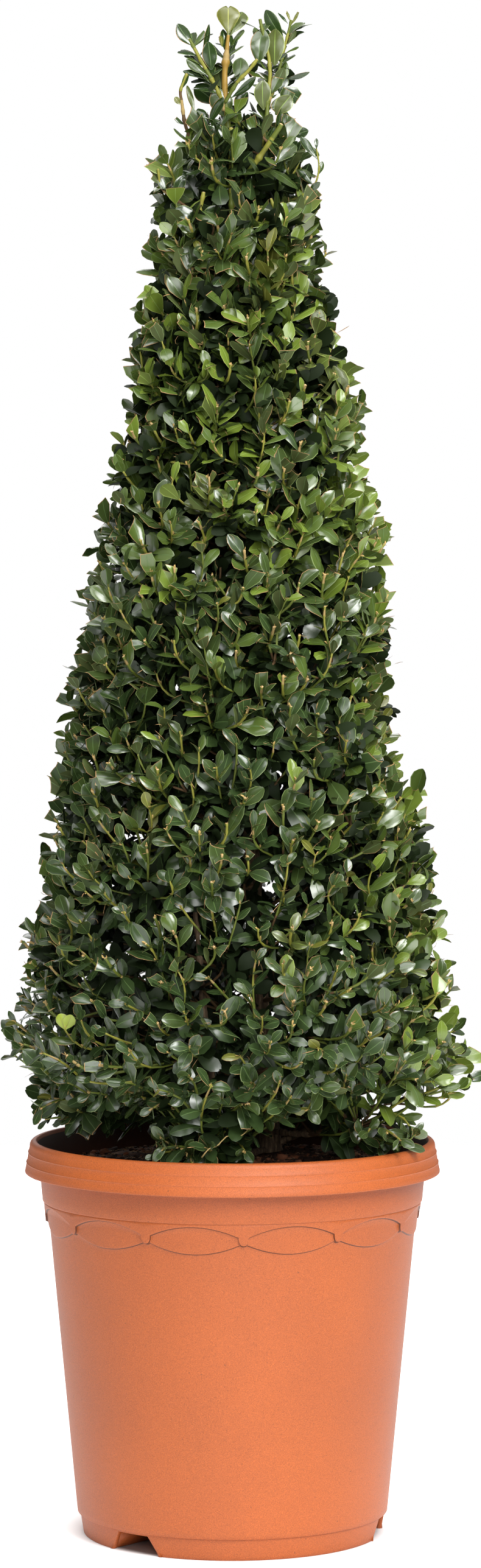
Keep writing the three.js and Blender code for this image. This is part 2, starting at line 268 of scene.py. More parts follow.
def terracotta_material(name, shade=1.0):
    """Moulded plastic with a fine spark-eroded grain and a few dark specks, with painted light by height:
    the foot a little brighter and a band of painted shade just under the rim. A shade below 1 gives a
    darker copy of the plastic, for painted shade.
    """
    material, nodes = new_material(name)
    place = nodes.place()
    dull, bright = (tuple(shade * v for v in c) for c in (TERRACOTTA_DULL, TERRACOTTA))
    colour = nodes.ramp(nodes.noise(place, 11, 3), (0.3, dull), (0.7, bright))
    # Painted light and shade by height: a little brighter at the foot, even over the body, and darkest just
    # under the rim, where the rim's shadow falls.
    under_rim = nodes.ramp(
        nodes.output("SeparateXYZ", "Z", {0: place}),
        (0.0, (0.98, 0.97, 0.92)), (0.12, (0.91, 0.9, 0.86)), (0.275, (0.91, 0.9, 0.86)),
        (0.296, (0.76, 0.72, 0.68)), (0.2975, 1),
    )
    colour = nodes.mix(1.0, colour, under_rim, "MULTIPLY")
    grain = nodes.noise(place, 1500, 2, 0.7)
    light_grain = nodes.ramp(grain, (0.3, (0.68, 0.66, 0.64)), (0.72, (1.36, 1.34, 1.34)))
    colour = nodes.mix(1.0, colour, light_grain, "MULTIPLY")
    speck_mask = nodes.ramp(nodes.noise(place, 430, 0), (0.85, 0), (0.88, 0.5))
    colour = nodes.mix(speck_mask, colour, POT_DIRT)
    nodes.surface(colour, 0.48, 0.44, nodes.bump(grain, 0.5, 0.4 * MM))
    return material


def soil_material():
    material, nodes = new_material("peat")
    lumps = nodes.noise(nodes.place(), 150, 6, 0.7)
    colour = nodes.ramp(
        lumps, (0.32, (0.012, 0.006, 0.004)), (0.5, (0.055, 0.024, 0.013)), (0.68, (0.15, 0.062, 0.03)),
    )
    nodes.surface(colour, 0.95, 0.2, nodes.bump(lumps, 0.9, 2 * MM))
    return material


def bark_material():
    """Old box bark: grey-brown, with long pale ridges."""
    material, nodes = new_material("box_bark")
    stretched = nodes.output("Mapping", "Vector", {"Vector": nodes.place(), "Scale": (1, 1, 0.16)})
    ridges = nodes.noise(stretched, 420, 5, 0.65)
    colour = nodes.ramp(
        ridges, (0.3, (0.03, 0.018, 0.01)), (0.5, (0.12, 0.075, 0.04)), (0.7, (0.3, 0.21, 0.12)),
    )
    nodes.surface(colour, 0.85, normal=nodes.bump(ridges, 0.8, 0.8 * MM))
    return material


# Blade colours, from the oldest leaves to the youngest. The first, shaded, is the old leaves' dark green made
# near-black with painted shade, for leaves deep in the crown.
TONES = {
    "shaded": (0.010, 0.018, 0.005),
    "deep": (0.019, 0.039, 0.008),
    "blue_green": (0.028, 0.050, 0.014),
    "dark": (0.039, 0.062, 0.015),
    "mid": (0.064, 0.100, 0.018),
    "fresh": (0.125, 0.180, 0.024),
    "olive": (0.068, 0.086, 0.020),
    "yellow_green": (0.100, 0.108, 0.014),
    "lime": (0.30, 0.38, 0.03),
    "underside": (0.048, 0.063, 0.016),
    "underside_fresh": (0.100, 0.135, 0.024),
}
SHADED, DEEP, BLUE_GREEN, DARK, MID, FRESH, OLIVE, YELLOW_GREEN, LIME, UNDERSIDE, UNDERSIDE_FRESH = range(11)
TONE_ROUGHNESS = (0.5, 0.22, 0.27, 0.25, 0.24, 0.25, 0.3, 0.35, 0.35, 0.6, 0.6)
TONE_SPECULAR = (0.2, 0.66, 0.66, 0.68, 0.66, 0.6, 0.6, 0.6, 0.6, 0.25, 0.25)
# Midribs and margins are paler than the blade; the old, the fresh and the young leaves share three each.
RIB_COLOURS = ((0.07, 0.12, 0.032), (0.16, 0.23, 0.045), (0.26, 0.27, 0.06))
MARGIN_COLOURS = ((0.15, 0.20, 0.065), (0.24, 0.30, 0.07), (0.22, 0.22, 0.05))
VEIN_GROUP = np.array([0, 0, 0, 0, 0, 1, 1, 2, 2, 0, 1])
FIRST_RIB = len(TONES)
FIRST_MARGIN = FIRST_RIB + len(RIB_COLOURS)
CUT_EDGE = FIRST_MARGIN + len(MARGIN_COLOURS)
BUD = CUT_EDGE + 1


def leaf_materials():
    made = [
        plain("leaf_" + name, colour, rough, specular)
        for (name, colour), rough, specular in zip(TONES.items(), TONE_ROUGHNESS, TONE_SPECULAR)
    ]
    for part, colours in (("rib", RIB_COLOURS), ("margin", MARGIN_COLOURS)):
        made += [plain(f"{part}_{i}", colour, 0.45) for i, colour in enumerate(colours)]
    made.append(plain("leaf_cut_edge", (0.29, 0.175, 0.075), 0.75, 0.3))
    made.append(plain("bud", (0.42, 0.29, 0.1), 0.7, 0.3))
    return made


LEAF_LOOKS = leaf_materials()
SHOOT_GREEN, SHOOT_YELLOW, SHOOT_OCHRE, SHOOT_BROWN, SHOOT_NODE, SHOOT_CUT = range(6)
SHOOT_LOOKS = [
    plain("shoot_green", (0.10, 0.125, 0.018), 0.5, 0.3),
    plain("shoot_yellow_green", (0.2, 0.195, 0.028), 0.5, 0.3),
    plain("shoot_ochre", (0.27, 0.165, 0.030), 0.5, 0.3),
    plain("shoot_brown", (0.105, 0.062, 0.028), 0.75, 0.2),
    plain("shoot_node", (0.31, 0.22, 0.085), 0.75, 0.2),
    plain("shoot_cut_end", (0.5, 0.35, 0.18), 0.8, 0.2),
]


# ------------------------------------------------------------------ pot

POT_LOW, POT_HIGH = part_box("pot")
RIM_HEIGHT = POT_HIGH.z
SKIRT_Z = 17.8 * MM
SKIRT_RADIUS = 127.3 * MM
TAPER = 0.0952
WALL = 2.6 * MM
FLOOR_UNDERSIDE = 15.5 * MM
FLOOR_TOP = 18.4 * MM
FOOT_RADIUS = 122.4 * MM
FOOT_TOP_RADIUS = 125.2 * MM
FOOT_WIDTH = 3.4 * MM
FOOT_COLUMN_STEP = 2.5
RIM_UNDERSIDE = RIM_HEIGHT - 26 * MM
RIM_RADIUS = 170 * MM
RIM_TOP_RADIUS = 166 * MM
RIM_LINES = (8.2 * MM, 16.4 * MM)
RIM_ROUNDING = 4.2 * MM
LIP_RADIUS = 160.5 * MM
BAND_LINE = 273.6 * MM
UPPER_BAND = 3.9 * MM
LOWER_BAND = 3.1 * MM
LENS = 1.3 * MM
LENS_COUNT = 12
HALF_LENS = 180 / LENS_COUNT
FIRST_NUB = 3.4
NUB_HALF = 1.5
NUB_TIP = 256.0 * MM
NUB_ROOT = 262.6 * MM
ARCH_TOP = 270.9 * MM
LENS_BOTTOM = 248.7 * MM
LENS_END = 257.9 * MM
NOTCH_ANGLES = (-40, 80, 200)
NOTCH_HALF = 24.5 * MM
NOTCH_TOP_HALF = 15 * MM
NOTCH_HEIGHT = FLOOR_UNDERSIDE + 0.4 * MM
CHANNEL_END = 52 * MM
# Slots of the pot: its own plastic; the ornament's step faces, a darker copy for painted shade in the
# creases; the inner wall, a darker copy for painted shade inside the pot.
OUTSIDE, CREASE_PAINTED_SHADE, INSIDE_PAINTED_SHADE = range(3)


def body_radius(z):
    return SKIRT_RADIUS + TAPER * (z - SKIRT_Z)


def arch_height(offset):
    """Lower edge of the lower band, at this many degrees from the middle of its lens."""
    away = np.abs(offset)
    arch_end = HALF_LENS - NUB_HALF
    arch = ARCH_TOP - (ARCH_TOP - NUB_ROOT) * np.minimum(away / arch_end, 1) ** 2
    side = np.clip((HALF_LENS - away) / NUB_HALF, 0, 1)
    drop = 1 - (1 - side ** 2.4) ** (1 / 2.4)
    nub = NUB_TIP + (NUB_ROOT - NUB_TIP) * drop
    return np.where(away < arch_end, arch, nub)


def lens_height(offset):
    away = np.abs(offset) / HALF_LENS
    return np.minimum(LENS_BOTTOM + (LENS_END - LENS_BOTTOM) * away ** 2, arch_height(offset) - 0.5 * MM)


def pot_columns():
    """Angles of the pot's columns, in degrees from the front, and how far each is from its lens's middle."""
    half = [0, 2, 4, 6, 8, 9.5, 10.8, 11.8, 12.5, 13.0, 13.3, 13.47]
    nub = HALF_LENS - NUB_HALF * np.array([1.0, 0.985, 0.94, 0.85, 0.7, 0.5, 0.25])
    half = np.concatenate([half, nub])
    offsets = np.concatenate([-half[:0:-1], half, [HALF_LENS]])
    lens = np.arange(LENS_COUNT)[:, None]
    angles = FIRST_NUB + 2 * HALF_LENS * (lens + 0.5) + offsets[None, :]
    return angles.ravel(), np.tile(offsets, LENS_COUNT)


class Turned:
    """Rings of corners one after another round the pot's axis, at the same angles from the front."""

    def __init__(self, turn):
        self.turn = turn
        self.rings = []
        self.looks = []

    def ring(self, z, radius, look=OUTSIDE):
        """A ring, and the look of the faces between it and the ring before."""
        z, radius, turn = np.broadcast_arrays(z, radius, self.turn)
        self.rings.append(np.stack([radius * np.sin(turn), -radius * np.cos(turn), z], -1))
        self.looks.append(look)

    def into(self, joined, downward=False):
        """The faces between the rings and a flat middle in the last one. Returns the first ring's corners."""
        columns = len(self.turn)
        first = joined.add_corners(np.array(self.rings)) + np.arange(columns)
        faces = first[0] + grid_faces(len(self.rings), columns, closed=True)
        last = first + (len(self.rings) - 1) * columns
        if downward:
            faces, last = faces[:, ::-1], last[::-1]
        joined.add_faces(faces, np.repeat(self.looks[1:], columns))
        joined.cap(last, [0, 0, self.rings[-1][0, 2]], OUTSIDE)
        return first


def pot_wall(joined):
    """Everything above the skirt line: body, lenses, bands, rim, mouth and inner wall."""
    angles, offsets = pot_columns()
    rng = random_for("pot")
    turn = np.radians(angles)
    arch = arch_height(offsets)
    lens = lens_height(offsets)
    wall = Turned(turn)
    row = wall.ring

    def step(edge, inner, outer, rings, top=RIM_HEIGHT):
        """A step in the wall: each ring's height over the edge in mm, its share of the step, its look."""
        for over, share, look in rings:
            z = np.minimum(edge + over * MM, top)
            row(z, body_radius(z) + inner + (outer - inner) * share, look)

    row(SKIRT_Z, SKIRT_RADIUS - 2.2 * MM)
    row(SKIRT_Z, SKIRT_RADIUS - 0.35 * MM)
    row(SKIRT_Z + 0.35 * MM, SKIRT_RADIUS)
    for part in np.linspace(0.02, 0.985, 14):
        z = SKIRT_Z + part * (lens - SKIRT_Z)
        row(z, body_radius(z))
    step(lens, 0, LENS, (
        (-0.5, 0, OUTSIDE), (-0.1, 0.1, CREASE_PAINTED_SHADE), (0.3, 0.9, CREASE_PAINTED_SHADE), (0.7, 1, OUTSIDE), (1.4, 1, OUTSIDE),
    ), arch - 0.5 * MM)
    for part in (0.25, 0.5, 0.75):
        z = lens + 1.4 * MM + part * np.maximum(arch - lens - 2 * MM, 0)
        z = np.minimum(z, arch - 0.45 * MM)
        row(z, body_radius(z) + LENS)
    step(arch, LENS, LOWER_BAND, (
        (-0.4, 0, OUTSIDE), (-0.1, 0.12, CREASE_PAINTED_SHADE), (0.35, 0.9, CREASE_PAINTED_SHADE), (0.8, 1, OUTSIDE), (1.6, 1, OUTSIDE),
    ))
    for part in (0.4, 0.8):
        z = arch + 1.6 * MM + part * (BAND_LINE - 1.2 * MM - arch - 1.6 * MM)
        z = np.maximum(z, arch + 1.7 * MM)
        row(np.minimum(z, BAND_LINE - 0.9 * MM), body_radius(z) + LOWER_BAND)
    groove = ((-0.7, LOWER_BAND), (-0.3, LOWER_BAND - 0.25 * MM), (0.0, LOWER_BAND - 0.2 * MM),
              (0.3, UPPER_BAND - 0.1 * MM), (0.8, UPPER_BAND))
    for over, proud in groove:
        z = BAND_LINE + over * MM
        row(z, body_radius(z) + proud)
    for part in (0.3, 0.6, 0.9, 0.98):
        z = BAND_LINE + part * (RIM_UNDERSIDE - BAND_LINE)
        row(z, body_radius(z) + UPPER_BAND)

    # the rim: its underside, a rough lower edge with scraps of moulding flash, two fine lines, the lip
    flash = np.clip(rng.normal(0, 1, len(turn)), 0.9, 2.2) - 0.9
    spans = np.sin(turn * 7 + 1) * np.sin(turn * 17) > 0.45
    flash = flash * spans * 0.5 * MM
    row(RIM_UNDERSIDE + 0.2 * MM, body_radius(RIM_UNDERSIDE) + UPPER_BAND + 1.5 * MM)
    row(RIM_UNDERSIDE, 0.5 * (body_radius(RIM_UNDERSIDE) + RIM_RADIUS))
    row(RIM_UNDERSIDE - 0.4 * flash, RIM_RADIUS - 0.8 * MM)
    row(RIM_UNDERSIDE + 0.1 * MM - flash, RIM_RADIUS - 0.1 * MM)
    row(RIM_UNDERSIDE + 0.7 * MM, RIM_RADIUS)

    def face_radius(z):
        return RIM_RADIUS + (RIM_TOP_RADIUS - RIM_RADIUS) * (z - RIM_UNDERSIDE) / (22 * MM)

    row(RIM_UNDERSIDE + 4 * MM, face_radius(RIM_UNDERSIDE + 4 * MM))
    for line in RIM_LINES:
        for over, proud in ((-0.7, 0), (-0.25, 0.1), (0.1, 0.5), (0.5, 0.12), (1.0, -0.12)):
            z = RIM_UNDERSIDE + line + over * MM
            row(z, face_radius(z) + proud * MM)
    for bend in np.linspace(0, 1, 6) * math.pi / 2:
        z = RIM_HEIGHT - RIM_ROUNDING + RIM_ROUNDING * math.sin(bend)
        row(z, RIM_TOP_RADIUS - 4.0 * MM * (1 - math.cos(bend)))
    row(RIM_HEIGHT - 0.1 * MM, LIP_RADIUS + 0.5 * MM)
    row(RIM_HEIGHT - 0.5 * MM, LIP_RADIUS)
    under_rim = body_radius(RIM_UNDERSIDE) + UPPER_BAND - WALL
    for z in (RIM_HEIGHT - 3 * MM, RIM_HEIGHT - 8 * MM, RIM_HEIGHT - 15 * MM, RIM_UNDERSIDE):
        part = (RIM_HEIGHT - z) / (RIM_HEIGHT - RIM_UNDERSIDE)
        row(z, LIP_RADIUS + part * (under_rim - LIP_RADIUS), INSIDE_PAINTED_SHADE if part > 0.2 else OUTSIDE)
    row(BAND_LINE, body_radius(BAND_LINE) - WALL, INSIDE_PAINTED_SHADE)
    row(FLOOR_TOP, body_radius(FLOOR_TOP) - WALL)
    row(FLOOR_TOP, 40 * MM)
    wall.into(joined)


def notch_edge(angles):
    """Height of the foot's lower edge at each angle: 0, and raised in the three notches."""
    edge = np.zeros(len(angles))
    for notch in NOTCH_ANGLES:
        away = (angles - notch + 180) % 360 - 180
        across = np.abs(FOOT_RADIUS * np.sin(np.radians(away)))
        across[np.abs(away) > 60] = 1
        part = np.clip((NOTCH_HALF - across) / (NOTCH_HALF - NOTCH_TOP_HALF), 0, 1)
        edge = np.maximum(edge, part * NOTCH_HEIGHT)
    return edge


def pot_foot(joined):
    """The foot ring with its notches, the underside and the channels behind the notches."""
    corner_half = [math.degrees(math.asin(h / FOOT_RADIUS)) for h in (NOTCH_HALF, NOTCH_TOP_HALF)]
    angles = list(np.arange(-180, 180, FOOT_COLUMN_STEP))
    for notch in NOTCH_ANGLES:
        for half in corner_half:
            for side in (-1, 1):
                angles += [notch + side * (half + near) for near in (-0.25, 0, 0.25)]
    angles = np.sort((np.array(angles) + 180) % 360 - 180)
    turn = np.radians(angles)
    edge = notch_edge(angles)
    foot = Turned(turn)
    row = foot.ring

    def outer(z):
        return FOOT_RADIUS + (FOOT_TOP_RADIUS - FOOT_RADIUS) * z / SKIRT_Z

    row(SKIRT_Z, SKIRT_RADIUS - 2.2 * MM)
    row(SKIRT_Z, outer(SKIRT_Z) - 0.1 * MM)
    for part in (0.97, 0.7, 0.4, 0.15):
        z = edge + part * (SKIRT_Z - edge)
        row(z, outer(z))
    row(edge + 0.4 * MM, outer(edge))
    row(edge, outer(edge) - 0.5 * MM)
    row(edge, outer(edge) - FOOT_WIDTH + 0.3 * MM)
    row(edge + 0.4 * MM, outer(edge) - FOOT_WIDTH)
    row(np.maximum(edge, FLOOR_UNDERSIDE), outer(FLOOR_UNDERSIDE) - FOOT_WIDTH)
    row(FLOOR_UNDERSIDE + 0.3 * MM, 60 * MM)
    foot.into(joined, downward=True)
    for notch in NOTCH_ANGLES:
        channel(joined, math.radians(notch))


def channel(joined, angle):
    """Two leaning side walls and an end wall, from behind the notch in towards the middle."""
    side = compass(angle)
    out = np.cross(side, UP)
    near = FOOT_RADIUS - FOOT_WIDTH / 2

    def slab(outline):
        """A wall: outline(half) gives its four corners where the channel is this wide from the middle."""
        corners = [
            out * along + side * across + UP * z
            for z, half in ((0.3 * MM, NOTCH_HALF), (FLOOR_UNDERSIDE + 0.2 * MM, NOTCH_TOP_HALF))
            for along, across in outline(half)
        ]
        first = joined.add_corners(corners)
        box = [(0, 1, 2, 3), (7, 6, 5, 4), (0, 4, 5, 1), (1, 5, 6, 2), (2, 6, 7, 3), (3, 7, 4, 0)]
        joined.add_faces(first + np.array(box), OUTSIDE)

    def beside(half, mirror):
        a, b = mirror * half, mirror * (half + WALL)
        return (near, a), (CHANNEL_END, a), (CHANNEL_END, b), (near, b)

    def across_end(half):
        outer = CHANNEL_END + WALL
        return (CHANNEL_END, -half), (CHANNEL_END, half), (outer, half), (outer, -half)

    slab(lambda half: beside(half, -1))
    slab(lambda half: beside(half, 1))
    slab(across_end)


def build_pot():
    joined = Joined()
    pot_wall(joined)
    pot_foot(joined)
    # The crease and inside copies are the plastic darkened to 0.3 and 0.14: painted shade.
    painted_shades = {"plastic": 1.0, "crease": 0.3, "inside": 0.14}
    looks = [terracotta_material("terracotta_" + name, shade) for name, shade in painted_shades.items()]
    joined.piece("pot_fine", looks, ["pot"])


# ------------------------------------------------------------------ soil

SOIL_LOW, SOIL_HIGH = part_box("soil")
SOIL_EDGE = 299 * MM
SOIL_PLAY = 0.7 * MM
SOIL_RADIUS = body_radius(RIM_UNDERSIDE) + UPPER_BAND - WALL - SOIL_PLAY
SOIL_RINGS = 70
SOIL_COLUMNS = 150
CRUMB_COUNT = 1500
FIBRE_COUNT = 260


def soil_height(x, y):
    across = min(1.0, math.hypot(x, y) / SOIL_RADIUS)
    mound = (SOIL_HIGH.z - SOIL_EDGE - 1.5 * MM) * (1 - across * across)
    fade = 1 - across ** 6
    place = Vector((x, y, 0))
    lumps = 2.2 * MM * noise.noise(place * 60) + 1.5 * MM * noise.noise(place * 160)
    crumbs = 1.1 * MM * noise.noise(place * 420)
    return SOIL_EDGE + mound + fade * (lumps + crumbs)


def build_soil():
    joined = Joined()
    turn = np.arange(SOIL_COLUMNS) * 2 * math.pi / SOIL_COLUMNS
    soil = Turned(turn + math.pi / 2)
    for ring in range(1, SOIL_RINGS + 1):
        radius = SOIL_RADIUS * ring / SOIL_RINGS
        soil.ring([soil_height(radius * math.cos(a), radius * math.sin(a)) for a in turn], radius)
    for pot_z, z in ((BAND_LINE, BAND_LINE), (FLOOR_TOP, SOIL_LOW.z)):
        soil.ring(z, body_radius(pot_z) - WALL - SOIL_PLAY)
    joined.cap(soil.into(joined, downward=True), [0, 0, soil_height(0, 0)], 0)
    joined.piece("soil_top", [soil_material()], ["soil"])
    build_crumbs()


CRUMB_COLOURS = {"dark": (0.02, 0.010, 0.006), "red": (0.12, 0.043, 0.02), "brown": (0.2, 0.1, 0.05)}
CRUMB_SHARES = (0.62, 0.28, 0.1)


def build_crumbs():
    """Loose crumbs of peat and bark, and pale fibres, on the soil."""
    rng = random_for("crumbs")
    joined = Joined()
    phi = (1 + math.sqrt(5)) / 2
    ball = unit(np.array([
        (-1, phi, 0), (1, phi, 0), (-1, -phi, 0), (1, -phi, 0), (0, -1, phi), (0, 1, phi),
        (0, -1, -phi), (0, 1, -phi), (phi, 0, -1), (phi, 0, 1), (-phi, 0, -1), (-phi, 0, 1),
    ], float))
    faces = np.array([
        (0, 11, 5), (0, 5, 1), (0, 1, 7), (0, 7, 10), (0, 10, 11), (1, 5, 9), (5, 11, 4),
        (11, 10, 2), (10, 7, 6), (7, 1, 8), (3, 9, 4), (3, 4, 2), (3, 2, 6), (3, 6, 8),
        (3, 8, 9), (4, 9, 5), (2, 4, 11), (6, 2, 10), (8, 6, 7), (9, 8, 1),
    ])

    def spot(most):
        """A random place on the soil, as far out as this share of its area."""
        radius = SOIL_RADIUS * math.sqrt(rng.uniform(0, most))
        return radius * compass(rng.uniform(0, 2 * math.pi))

    for _ in range(CRUMB_COUNT):
        place = spot(0.96)
        size = MM * rng.lognormal(0.25, 0.45)
        shape = ball * rng.uniform(0.6, 1.4, (12, 1)) * size * np.array([1.5, 1.0, 0.75])
        spin = compass(rng.uniform(0, 2 * math.pi))
        shape = shape @ np.array([spin, [-spin[1], spin[0], 0], UP])
        place[2] = soil_height(*place[:2]) + 0.3 * size
        first = joined.add_corners(shape + place)
        joined.add_faces(first + faces, int(rng.choice(len(CRUMB_COLOURS), p=CRUMB_SHARES)))
    tubes = Tubes()
    for _ in range(FIBRE_COUNT):
        point = spot(0.9)
        heading = rng.uniform(0, 2 * math.pi)
        line = []
        for _ in range(6):
            z = soil_height(*point[:2]) + 0.6 * MM + 1.2 * MM * rng.uniform(0, 1)
            line.append(point + UP * z)
            heading += rng.normal(0, 0.5)
            point = point + MM * rng.uniform(1.2, 3.2) * compass(heading)
            point *= min(1, (SOIL_RADIUS - 2 * MM) / np.linalg.norm(point))
        tubes.add(line, 0.22 * MM, 0.12 * MM, len(CRUMB_COLOURS))
    tubes.into(joined, sides=3)
    looks = [plain("crumb_" + name, colour, 0.95, 0.2) for name, colour in CRUMB_COLOURS.items()]
    looks.append(plain("fibre", (0.34, 0.22, 0.12), 0.9, 0.2))
    joined.piece("soil_crumbs", looks)


# ------------------------------------------------------------------ tubes


class Tubes:
    """Round limbs gathered by how many points their lines have, and then made all at once."""

    def __init__(self):
        self.groups = {}

    def add(self, line, thick, thin, slot, end_slot=None, swell=None, ring_slots=None):
        line = np.asarray(line, float)
        radii = np.linspace(thick, thin, len(line))
        if swell is not None:
            radii = radii * swell
        slots = np.full(len(line) - 1, slot) if ring_slots is None else np.asarray(ring_slots)
        end = slot if end_slot is None else end_slot
        self.groups.setdefault(len(line), []).append((line, radii, slots, end))

    def into(self, joined, sides):
        turn = np.arange(sides) * 2 * math.pi / sides
        for count, limbs in self.groups.items():
            lines, radii, slots, ends = map(np.array, zip(*limbs))
            along = unit(np.gradient(lines, axis=1))
            reference = np.cross(along[:, :1], [0.31, 0.27, 0.91])
            short = np.linalg.norm(reference, axis=-1, keepdims=True) < 0.2
            reference = np.where(short, np.cross(along[:, :1], [1.0, 0.1, 0.0]), reference)
            across = square_to(reference, along)
            third = np.cross(along, across)
            ring = (
                across[:, :, None] * np.cos(turn)[None, None, :, None]
                + third[:, :, None] * np.sin(turn)[None, None, :, None]
            )
            first = joined.add_corners(lines[:, :, None] + radii[:, :, None, None] * ring)
            shift = first + np.arange(len(limbs))[:, None, None] * count * sides
            quads = grid_faces(count, sides, closed=True)[None]
            joined.add_faces(shift + quads, np.repeat(slots, sides, axis=1).ravel())
            # rounded ends: one corner a little beyond the last ring, and one behind the first
            start = shift[:, :, 0] + np.arange(sides)
            tips = lines[:, -1] + along[:, -1] * radii[:, -1:] * 0.35
            joined.cap(start + (count - 1) * sides, tips, np.repeat(ends, sides))
            butts = lines[:, 0] - along[:, 0] * radii[:, :1] * 0.35
            joined.cap(start[:, ::-1], butts, np.repeat(slots[:, 0], sides))


def limb_line(node, count):
    """Centres and radii of a packed limb, cut across its length by evenly spaced planes."""
    corners, triangles = node_mesh(node)
    spread = corners - corners.mean(0)
    _, _, axes = np.linalg.svd(spread, full_matrices=False)
    axis = axes[0] * (1 if axes[0][2] > 0 else -1)
    along = corners @ axis
    edges = np.concatenate([triangles[:, [0, 1]], triangles[:, [1, 2]], triangles[:, [2, 0]]])
    start, end = corners[edges[:, 0]], corners[edges[:, 1]]
    t0, t1 = along[edges[:, 0]], along[edges[:, 1]]
    centres, radii = [], []
    for place in np.linspace(0.004, 0.996, count):
        t = along.min() + place * (along.max() - along.min())
        hit = (t0 - t) * (t1 - t) < 0
        part = ((t - t0[hit]) / (t1[hit] - t0[hit]))[:, None]
        points = start[hit] + part * (end[hit] - start[hit])
        centre = 0.5 * (points.min(0) + points.max(0))
        centres.append(centre)
        radii.append(np.median(np.linalg.norm(points - centre, axis=1)))
    return np.array(centres), np.array(radii)


LEADER_CUTS = 60
LIMB_CUTS = 26
LIMBS = {name: limb_line(name, LEADER_CUTS if name == "stem_main" else LIMB_CUTS)
         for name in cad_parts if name.startswith(("stem_", "bough_", "shoot_"))}
BOUGHS = [name for name in LIMBS if name.startswith("bough_")]
SHOOTS = [name for name in LIMBS if name.startswith("shoot_")]
LEADER = LIMBS["stem_main"][0]


# ------------------------------------------------------------------ bark and thick shoots


def relief_limb(joined, line, radii, sides, step, rng, slot_at, relief, knots, end_slot=0):
    """A limb with long ridges and swollen knots. slot_at gives the slot for a share of its length."""
    run = np.concatenate([[0], np.cumsum(np.linalg.norm(np.diff(line, axis=0), axis=1))])
    count = max(4, int(run[-1] / step) + 2)
    place = np.linspace(0, run[-1], count)
    centre = np.stack([np.interp(place, run, line[:, k]) for k in range(3)], -1)
    radius = np.interp(place, run, radii)
    for knot, size, spread in knots:
        radius = radius * (1 + size * np.exp(-((place - knot * run[-1]) / spread) ** 2))
    along = unit(np.gradient(centre, axis=0))
    across = unit(np.cross(along, [0.12, 0.97, 0.2]))
    third = np.cross(along, across)
    turn = np.arange(sides) * 2 * math.pi / sides
    ridges = np.zeros((count, sides))
    for waves in (2, 3, 5, 7):
        drift = 1.6 * np.sin(place * rng.uniform(18, 60) + rng.uniform(0, 6))
        ridges += np.sin(waves * turn[None] + rng.uniform(0, 6) + drift[:, None]) / waves**0.7
    ridges += rng.normal(0, 0.35, ridges.shape)
    radius = radius[:, None] * (1 + relief * ridges / 1.6)
    corners = (
        centre[:, None]
        + across[:, None] * (radius * np.cos(turn))[..., None]
        + third[:, None] * (radius * np.sin(turn))[..., None]
    )
    first = joined.add_corners(corners)
    slots = np.array([slot_at(p / run[-1]) for p in place[:-1]])
    joined.add_faces(first + grid_faces(count, sides, closed=True), np.repeat(slots, sides))
    ring = first + np.arange(sides)
    joined.cap(ring[::-1], centre[0] - along[0] * radius[0].mean() * 0.2, slots[0])
    joined.cap(ring + (count - 1) * sides, centre[-1] + along[-1] * radius[-1].mean() * 0.3, end_slot)


BARK_TOP = 1000 * MM
TRUNK_KNOTS = 26
BOUGH_KNOTS = 6


def even_radii(radii):
    """The oblique cut at a limb's foot measures thin, so its first radii are taken from further up."""
    radii = radii.copy()
    radii[:3] = np.maximum(radii[:3], radii[3])
    return radii


def build_trunk_and_boughs():
    rng = random_for("bark")
    trunk = Joined()
    centres, radii = LIMBS["stem_main"]
    low = centres[:, 2] <= BARK_TOP
    knots = [
        (rng.uniform(0.03, 0.98), rng.uniform(0.1, 0.3), rng.uniform(3, 6) * MM)
        for _ in range(TRUNK_KNOTS)
    ]
    relief_limb(trunk, centres[low], radii[low], 20, 3 * MM, rng, lambda part: 0, 0.1, knots)
    centres, radii = LIMBS["stem_front"]
    knots = [(part, 0.45, 4 * MM) for part in (0.08, 0.15, 0.27, 0.4, 0.52, 0.66, 0.8, 0.92)]
    relief_limb(trunk, centres, even_radii(radii), 12, 2 * MM, rng, lambda part: 0, 0.16, knots)
    looks = [bark_material()]
    trunk.piece("trunk_bark", looks, ["stem_main", "stem_front"])
    boughs = Joined()
    for name in BOUGHS:
        centres, radii = LIMBS[name]
        knots = [(part, 0.4, 3 * MM) for part in rng.uniform(0.1, 0.95, BOUGH_KNOTS)]
        relief_limb(boughs, centres, even_radii(radii), 10, 2 * MM, rng, lambda part: 0, 0.14, knots)
    boughs.piece("boughs_bark", looks, BOUGHS)


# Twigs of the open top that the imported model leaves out: points in millimetres, radius at foot and tip in
# millimetres, and whether the twig is old and brown. Their tops are clipped.
TOP_TWIGS = {
    "twig_short_right": (((-6, -2, 1168), (4, -6, 1184), (13, -8, 1193), (20, -9, 1202)), 1.6, 1.3, False),
    "twig_left": (((-4, 2, 1098), (-24, 0, 1122), (-37, -2, 1146), (-41, -3, 1168), (-42, -3, 1178),
                   (-37, -4, 1191)), 1.7, 1.1, True),
    "twig_stub": (((0, -4, 1060), (-1, -13, 1085), (-1, -16, 1115), (-1, -17, 1146)), 2.1, 1.8, False),
    "twig_front_left": (((-4, -8, 1052), (-20, -34, 1058), (-26, -41, 1072), (-23, -43, 1092)), 1.7, 1.5,
                        False),
    "twig_front_right": (((6, -8, 1040), (36, -34, 1050), (36, -40, 1070), (31, -42, 1087)), 1.5, 1.1, False),
    "twig_right": (((8, -8, 1080), (40, -12, 1086), (63, -14, 1096), (70, -15, 1112), (68, -15, 1130)),
                   1.2, 0.55, False),
    "twig_low_left": (((-4, -4, 1060), (-34, -20, 1080), (-56, -24, 1096), (-60, -26, 1112)), 1.3, 0.9, True),
}
TWIG_CUTS = 20
